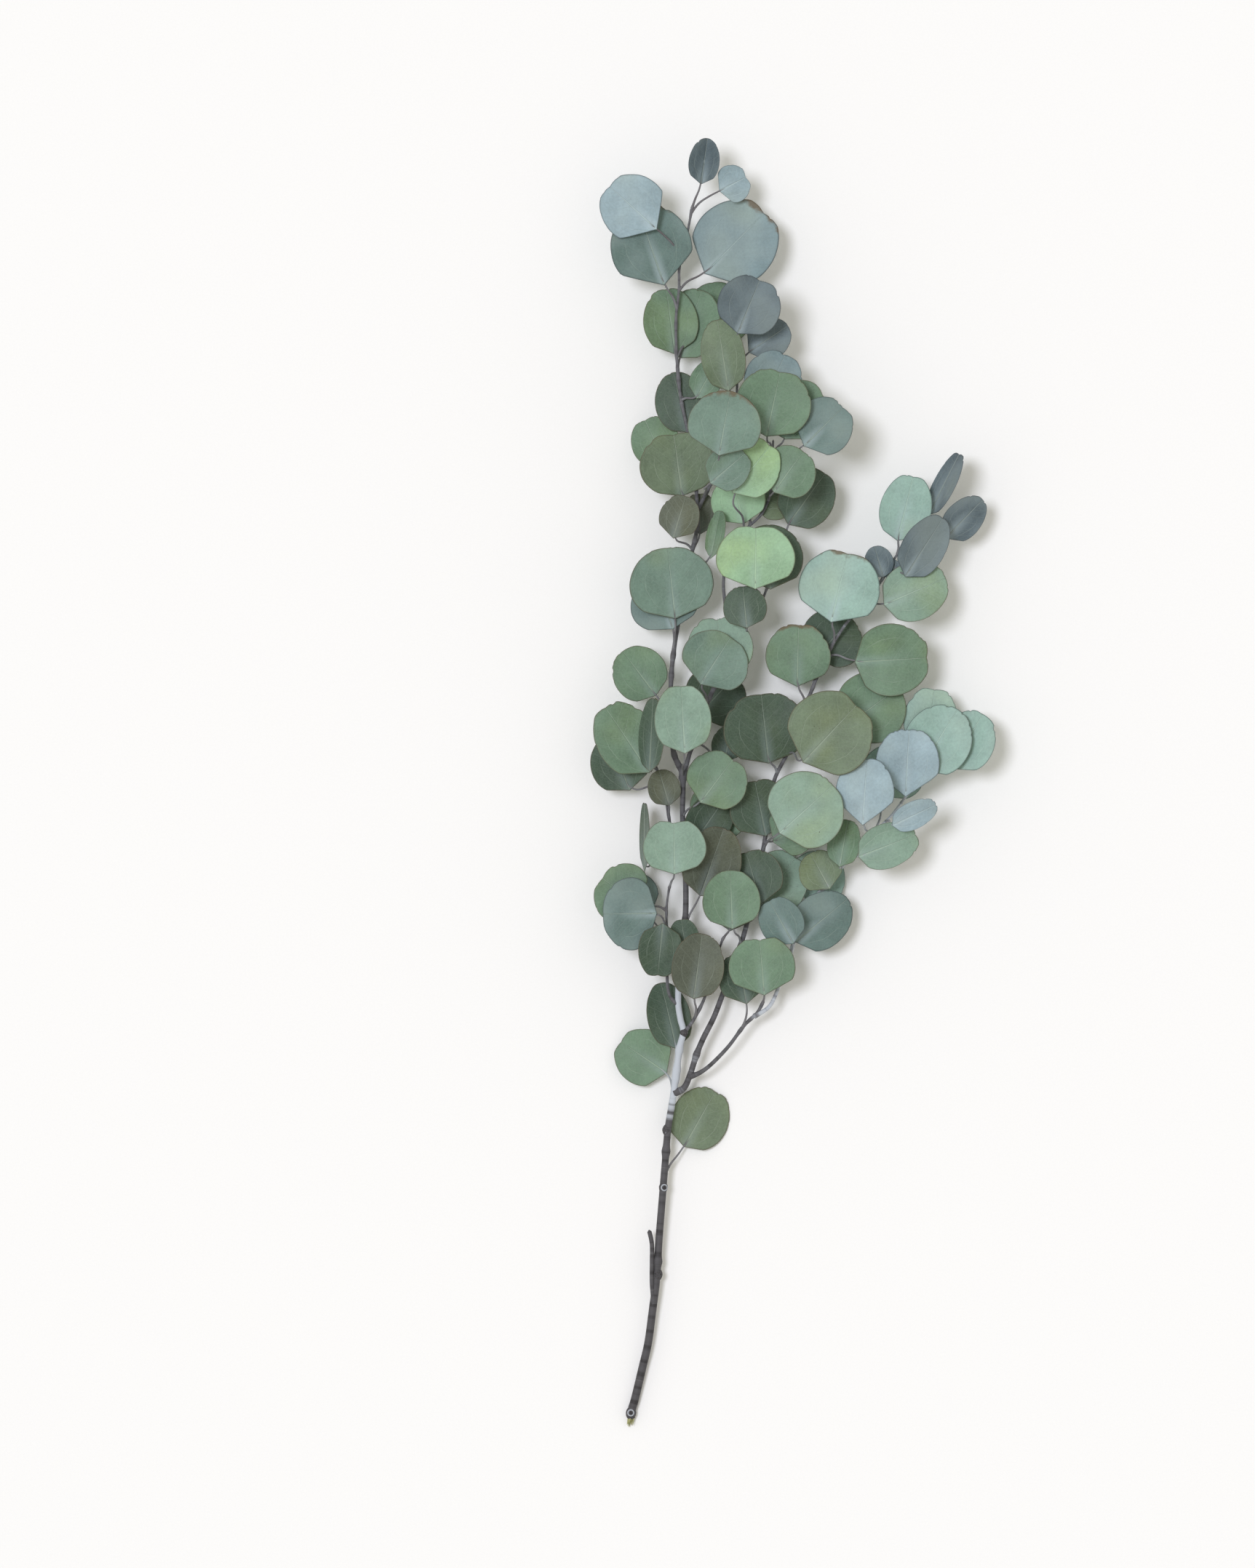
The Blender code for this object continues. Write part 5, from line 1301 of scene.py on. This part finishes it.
def bud_tree() -> bpy.types.NodeTree:
    """The geometry tree that sets buds and knots on the wood."""
    make = GeometryMaker("Buds", {"Roundness": "NodeSocketInt", "Roughness": "NodeSocketFloat",
                                  "Finish": "NodeSocketMaterial"})
    ball = make.node("GeometryNodeMeshIcoSphere", {"Radius": 1.0,
                                                   "Subdivisions": make.given("Roundness")})
    start = Term(make.tree, make.node("GeometryNodeInputPosition").outputs[0])
    x, y, z = make.separate(start)
    narrow = 1.0 - z.ramp(0.0, 1.3) * 0.55
    taper = make.node("GeometryNodeSetPosition", {"Geometry": ball.outputs["Mesh"],
                                                  "Position": make.combine(x * narrow, y * narrow, z)})
    kept = make.store(taper.outputs["Geometry"], "around", start, "FLOAT_VECTOR")
    aim = make.node("FunctionNodeAlignRotationToVector",
                    {"Vector": make.read("ahead", "FLOAT_VECTOR")}, axis="Z")
    spread = make.node("GeometryNodeInstanceOnPoints",
                       {"Points": make.given("Geometry"), "Instance": kept,
                        "Rotation": aim.outputs["Rotation"],
                        "Scale": make.read("swelling", "FLOAT_VECTOR")})
    real = make.node("GeometryNodeRealizeInstances", {"Geometry": spread.outputs["Instances"]})
    spot = make.node("GeometryNodeInputPosition").outputs[0]
    lumps = make.noise(spot, 700.0, 2.0, make.read("seed")) - 0.5
    normal = Term(make.tree, make.node("GeometryNodeInputNormal").outputs[0])
    moved = make.node("GeometryNodeSetPosition", {
        "Geometry": real.outputs["Geometry"],
        "Offset": normal.vector("SCALE", lumps * make.given("Roughness"))})
    return make.end(moved.outputs["Geometry"])


class Lines:
    """Points along several routes, with the attributes that a tube is grown from."""

    def __init__(self) -> None:
        """Starts with no routes."""
        self.spots = []
        self.edges = []
        self.attributes = {}

    def add(self, spots: np.ndarray, attributes: dict) -> None:
        """Adds one route.

        Args:
            spots: Its points.
            attributes: For each attribute, one value for the route or one for each point.
        """
        start = len(self.spots)
        self.spots.extend(spots)
        self.edges.extend((start + index, start + index + 1) for index in range(len(spots) - 1))
        for label, values in attributes.items():
            rows = np.asarray(values, dtype=float)
            if rows.ndim == 0 or (rows.ndim == 1 and len(rows) == 3 and len(spots) != 3):
                rows = np.repeat(rows[None], len(spots), axis=0)
            self.attributes.setdefault(label, []).extend(rows)


@dataclass
class LeafyStem:
    """The blades, leaf stalks, wood and buds of one of the branch's nodes. Sizes are in metres."""

    node: str
    layout: Layout
    leaf_finish: bpy.types.Material
    bark_finish: bpy.types.Material
    stalk_finish: bpy.types.Material
    disc: bpy.types.Object
    blade_tree: bpy.types.NodeTree
    tube_tree: bpy.types.NodeTree
    bud_tree: bpy.types.NodeTree
    blade_thickness: float = 0.00046
    wobble: float = 0.030
    bite: float = 0.045
    ripple: float = 0.0011
    wood_step: float = 0.0011
    wood_sides: int = 18
    stalk_step: float = 0.0011
    stalk_sides: int = 10
    node_swelling: float = 0.30
    foot_swelling: float = 0.40
    ridge: float = 0.22
    ridge_scale: float = 700.0

    def blades(self) -> bpy.types.Object:
        """Grows the node's blades.

        Returns:
            One piece with every blade.
        """
        found = self.layout.blades_of(self.node)
        rows = {"ahead": [], "side": [], "normal": [], "size": [], "bend": [], "outline": [],
                "tone": [], "marks": []}
        for blade in found:
            leaf = blade.leaf
            rows["ahead"].append(tuple(blade.ahead))
            rows["side"].append(tuple(blade.side))
            rows["normal"].append(tuple(blade.normal))
            rows["size"].append((blade.half_width, blade.length, blade.number * 1.37))
            rows["bend"].append((blade.cup, blade.wave, blade.phase))
            rows["outline"].append((blade.fold, blade.notch, blade.wedge))
            rows["tone"].append(linear(leaf.tone.value)[:3])
            rows["marks"].append((float(leaf.mark is Mark.SPECKLED), float(leaf.mark is Mark.BROWNED),
                                  float(leaf.tone in BLUE_TONES)))
        return grown(self.node + "_leaves", [tuple(blade.base) for blade in found], [], rows,
                     self.blade_tree, {"Disc": self.disc, "Half thickness": 0.5 * self.blade_thickness,
                                       "Wobble": self.wobble, "Bite": self.bite, "Ripple": self.ripple,
                                       "Finish": self.leaf_finish})

    def stalks(self) -> bpy.types.Object:
        """Grows the node's leaf stalks, each running on as its blade's midrib.

        Returns:
            One piece with every stalk.
        """
        lines = Lines()
        for blade in self.layout.blades_of(self.node):
            stem = self.layout.stems[blade.leaf.stem]
            route = smooth_route(self.layout.stalks[blade.number], ROUTE_STEPS)
            free = len(route) - 1
            route += [blade.point(reach, 0.0) for reach in np.linspace(0.10, 0.93, ROUTE_STEPS)]
            spots, run = evenly(route, self.stalk_step)
            length = sum((second - first).length for first, second in zip(route[:free], route[1:free + 1]))
            radius = np.interp(run, [0.0, 0.003, length * 0.8, length + 0.002, run[-1]],
                               [0.00095, 0.00068, 0.00050, 0.00036, 0.00019])
            rib = np.clip((run - length + 0.001) / 0.004, 0.0, 1.0)
            bloom = np.interp(nearest(self.layout.whole_routes[stem.name], place(*blade.leaf.root)),
                              *zip(*stem.bloom))
            lines.add(spots, {"radius": radius, "run": run, "rib": rib, "age": 0.2, "bloom": bloom,
                              "seed": blade.number * 0.91, "tone": linear(blade.leaf.tone.value)[:3]})
        return grown(self.node + "_stalks", lines.spots, lines.edges, lines.attributes, self.tube_tree,
                     {"Sides": self.stalk_sides, "Ridge": self.ridge, "Ridge scale": self.ridge_scale,
                      "Finish": self.stalk_finish})

    def swellings(self, stem: StemPlan) -> list:
        """How far along a stem, as a share, each leaf or twig stands on it."""
        route = self.layout.whole_routes[stem.name]
        roots = [place(*leaf.root) for leaf in LEAVES if leaf.stem == stem.name]
        roots += [self.layout.whole_routes[other.name][0] for other in STEMS if other.parent == stem.name]
        return [nearest(route, root) for root in roots]

    def wood(self) -> bpy.types.Object:
        """Grows the node's wood, swollen where leaves and twigs stand on it.

        Returns:
            One piece with all of the node's stems.
        """
        lines = Lines()
        for number, stem in enumerate(STEMS):
            if stem.node != self.node:
                continue
            spots, run = evenly(self.layout.whole_routes[stem.name], self.wood_step)
            share = run / run[-1]
            radius = stem.foot_radius + (stem.tip_radius - stem.foot_radius) * share
            for place_on in self.swellings(stem):
                away = (share - place_on) * run[-1] / 0.0024
                radius = radius * (1.0 + self.node_swelling * np.exp(-away ** 2))
            if stem.parent:
                radius = radius * (1.0 + self.foot_swelling * np.exp(-(run / 0.005) ** 2))
            radius = radius * MILLIMETRE
            left = (run[-1] - run) / radius[-1]
            radius = radius * np.sqrt(np.clip(1.0 - (1.0 - np.minimum(left, 1.0)) ** 2, 0.02, 1.0))
            if not stem.parent:
                keep = run > CUT_DEPTH
                spots, run, share, radius = spots[keep], run[keep], share[keep], radius[keep]
            lines.add(spots, {"radius": radius, "run": run, "age": np.interp(share, (0.0, 1.0), stem.age),
                              "bloom": np.interp(share, *zip(*stem.bloom)), "seed": number * 3.1})
        return grown(self.node + "_wood", lines.spots, lines.edges, lines.attributes, self.tube_tree,
                     {"Sides": self.wood_sides, "Ridge": self.ridge, "Ridge scale": self.ridge_scale,
                      "Finish": self.bark_finish})

    def buds(self) -> bpy.types.Object:
        """Grows the small buds in the angles between the wood and the leaf stalks.

        Returns:
            One piece with every bud.
        """
        spots = []
        rows = {"ahead": [], "swelling": [], "radius": [], "run": [], "age": [], "bloom": [], "seed": []}
        for blade in self.layout.blades_of(self.node):
            stem = self.layout.stems[blade.leaf.stem]
            stalk = self.layout.stalks[blade.number]
            route = self.layout.whole_routes[stem.name]
            share = nearest(route, place(*blade.leaf.root))
            forward = (along(route, min(1.0, share + 0.02)) - along(route, max(0.0, share - 0.02)))
            outward = (stalk[1] - stalk[0]).normalized()
            radius = stem_radius(stem, share)
            lean = (forward.normalized() * 1.2 + outward * 0.8).normalized()
            spots.append(stalk[0] + outward * radius * 0.8 + forward.normalized() * 0.0009)
            rows["ahead"].append(tuple(lean))
            rows["swelling"].append((0.00062, 0.00062, 0.0015))
            rows["radius"].append(0.0006)
            rows["run"].append(share * 0.3)
            rows["age"].append(0.3)
            rows["bloom"].append(float(np.interp(share, *zip(*stem.bloom))))
            rows["seed"].append(blade.number * 1.7)
        if self.node == "main_stem":
            self.add_knots(spots, rows)
        return grown(self.node + "_buds", spots, [], rows, self.bud_tree,
                     {"Roundness": 3, "Roughness": 0.0004, "Finish": self.bark_finish})

    def add_knots(self, spots: list, rows: dict) -> None:
        """Adds the trunk's knots to its buds."""
        route = self.layout.whole_routes["trunk"]
        for number, (column, row, side, size) in enumerate(KNOTS):
            share = nearest(route, place(column, row))
            spots.append(along(route, share) + Vector((side * 0.8 * MILLIMETRE, 0, 0)))
            rows["ahead"].append((0.1, 1.0, 0.0))
            rows["swelling"].append((size * MILLIMETRE, size * MILLIMETRE, size * 1.5 * MILLIMETRE))
            rows["radius"].append(size * MILLIMETRE)
            rows["run"].append(share * 0.7)
            rows["age"].append(1.0)
            rows["bloom"].append(0.2)
            rows["seed"].append(50.0 + number)

    def build(self) -> None:
        """Makes the node's pieces, sets them in place of its solid and reports them."""
        made = [(self.blades(), "leaf"), (self.stalks(), "bark"), (self.wood(), "bark"),
                (self.buds(), "bark")]
        for piece, slot in made:
            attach(piece, "root")
            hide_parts(self.node)
            LOG.info("%s: %d faces", piece.name, len(piece.data.polygons))


@dataclass
class CutEnd:
    """The frayed wood where the branch was torn off. Sizes are in metres."""

    layout: Layout
    tube_tree: bpy.types.NodeTree
    finish: bpy.types.Material
    splinters: int = 16
    spread: float = 0.0017
    longest: float = 0.0070
    thickness: float = 0.00062

    def build(self) -> bpy.types.Object:
        """Grows the splinters.

        Returns:
            One piece with every splinter.
        """
        draw = random.Random(SEED)
        spots, run = evenly(self.layout.whole_routes["trunk"], 0.001)
        start = Vector(spots[int(np.searchsorted(run, CUT_DEPTH))])
        inward = (Vector(spots[12]) - Vector(spots[2])).normalized()
        lines = Lines()
        for number in range(self.splinters):
            turn = 2.0 * math.pi * (number * 0.618)
            out = self.spread * math.sqrt((number + 0.5) / self.splinters)
            shift = Vector((math.cos(turn), 0.0, math.sin(turn))) * out
            length = self.longest * draw.uniform(0.35, 1.0) * (1.0 - 0.25 * out / self.spread)
            bend = Vector((draw.uniform(-0.10, 0.10), 0.0, draw.uniform(-0.05, 0.05)))
            route = []
            for step in range(9):
                reach = step / 8 * (length + 0.003) - 0.003
                spot = start + shift - inward * reach + bend * max(reach, 0.0)
                spot.z = max(spot.z, self.thickness)
                route.append(spot)
            radius = np.interp(np.arange(9), [0, 4, 8], [self.thickness, self.thickness * 0.8, 0.00012])
            lines.add(np.array([tuple(spot) for spot in route]),
                      {"radius": radius, "run": np.linspace(0.0, length, 9), "age": 1.0, "bloom": 0.0,
                       "seed": float(number)})
        piece = grown("main_stem_splinters", lines.spots, lines.edges, lines.attributes, self.tube_tree,
                      {"Sides": 7, "Ridge": 0.5, "Ridge scale": 1500.0, "Finish": self.finish})
        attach(piece, "root")
        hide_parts("main_stem")
        LOG.info("%s: %d faces", piece.name, len(piece.data.polygons))
        return piece


@dataclass
class Studio:
    """The surface, the light and the camera. Lengths are in metres, angles in degrees."""

    surface_side: float = 8.0
    camera_height: float = 8.0
    frame_column: float = PICTURE_WIDTH / 2
    frame_row: float = PICTURE_HEIGHT / 2
    sensor: float = 36.0
    key_strength: float = 1.62
    key_softness: float = 16.0
    key_tilt: tuple = (7.0, -16.0)
    fill_strength: float = 0.60
    fill_colour: tuple = (1.0, 0.98, 0.90)
    key_colour: tuple = (0.88, 0.90, 1.0)

    def surface(self, finish: bpy.types.Material) -> bpy.types.Object:
        """Lays the pale surface under the branch."""
        half = 0.5 * self.surface_side
        data = bpy.data.meshes.new("surface")
        data.from_pydata([(-half, -half, 0.0), (half, -half, 0.0), (half, half, 0.0), (-half, half, 0.0)],
                         [], [(0, 1, 2, 3)])
        data.materials.append(finish)
        laid = bpy.data.objects.new("surface", data)
        bpy.context.scene.collection.objects.link(laid)
        return laid

    def lights(self) -> None:
        """Hangs a large soft light above the upper left, in a pale room."""
        data = bpy.data.lights.new("key", "SUN")
        data.energy = self.key_strength
        data.angle = math.radians(self.key_softness)
        data.color = self.key_colour
        key = bpy.data.objects.new("key", data)
        key.rotation_euler = (math.radians(-self.key_tilt[0]), math.radians(self.key_tilt[1]), 0.0)
        bpy.context.scene.collection.objects.link(key)
        world = bpy.data.worlds.new("room")
        world.use_nodes = True
        room = world.node_tree.nodes["Background"]
        room.inputs["Color"].default_value = (*self.fill_colour, 1.0)
        room.inputs["Strength"].default_value = self.fill_strength
        bpy.context.scene.world = world

    def camera(self) -> bpy.types.Object:
        """Hangs the camera straight above the picture's middle.

        Returns:
            The camera.
        """
        half_frame = 0.5 * PICTURE_HEIGHT * PIXEL
        data = bpy.data.cameras.new("camera")
        data.sensor_width = self.sensor
        data.lens = 0.5 * self.sensor * self.camera_height / half_frame
        camera = bpy.data.objects.new("camera", data)
        camera.location = place(self.frame_column, self.frame_row, self.camera_height)
        bpy.context.scene.collection.objects.link(camera)
        bpy.context.scene.camera = camera
        return camera

    def build(self, finish: bpy.types.Material) -> None:
        """Sets everything up."""
        bpy.context.scene.view_settings.view_transform = "Standard"
        bpy.context.scene.view_settings.look = "None"
        self.surface(finish)
        self.lights()
        self.camera()


def main() -> None:
    """Builds the branch's looks and the studio round it."""
    logging.basicConfig(level=logging.INFO, format="%(message)s")
    layout = Layout()
    scars = tuple(tuple(place(column, row).xy) for column, row in SCARS)
    leaf_finish = LeafFinish("waxy leaf", roughness=0.58).material()
    bark_finish = BarkFinish("bark", roughness=0.68, scars=scars).material()
    stalk_finish = StalkFinish("leaf stalk", roughness=0.6).material()
    disc = leaf_template(DISC_RINGS, DISC_SPOKES)
    blade_tree, tubes, buds = leaf_tree(), tube_tree(), bud_tree()
    for node in sorted({stem.node for stem in STEMS}):
        LeafyStem(node, layout, leaf_finish, bark_finish, stalk_finish, disc, blade_tree, tubes,
                  buds).build()
    CutEnd(layout, tubes, CutWoodFinish("torn wood", roughness=0.75).material()).build()
    bpy.data.objects.remove(disc, do_unlink=True)
    Studio().build(SurfaceFinish("pale surface", roughness=0.9, specular=0.1).material())


if __name__ == "__main__":
    main()
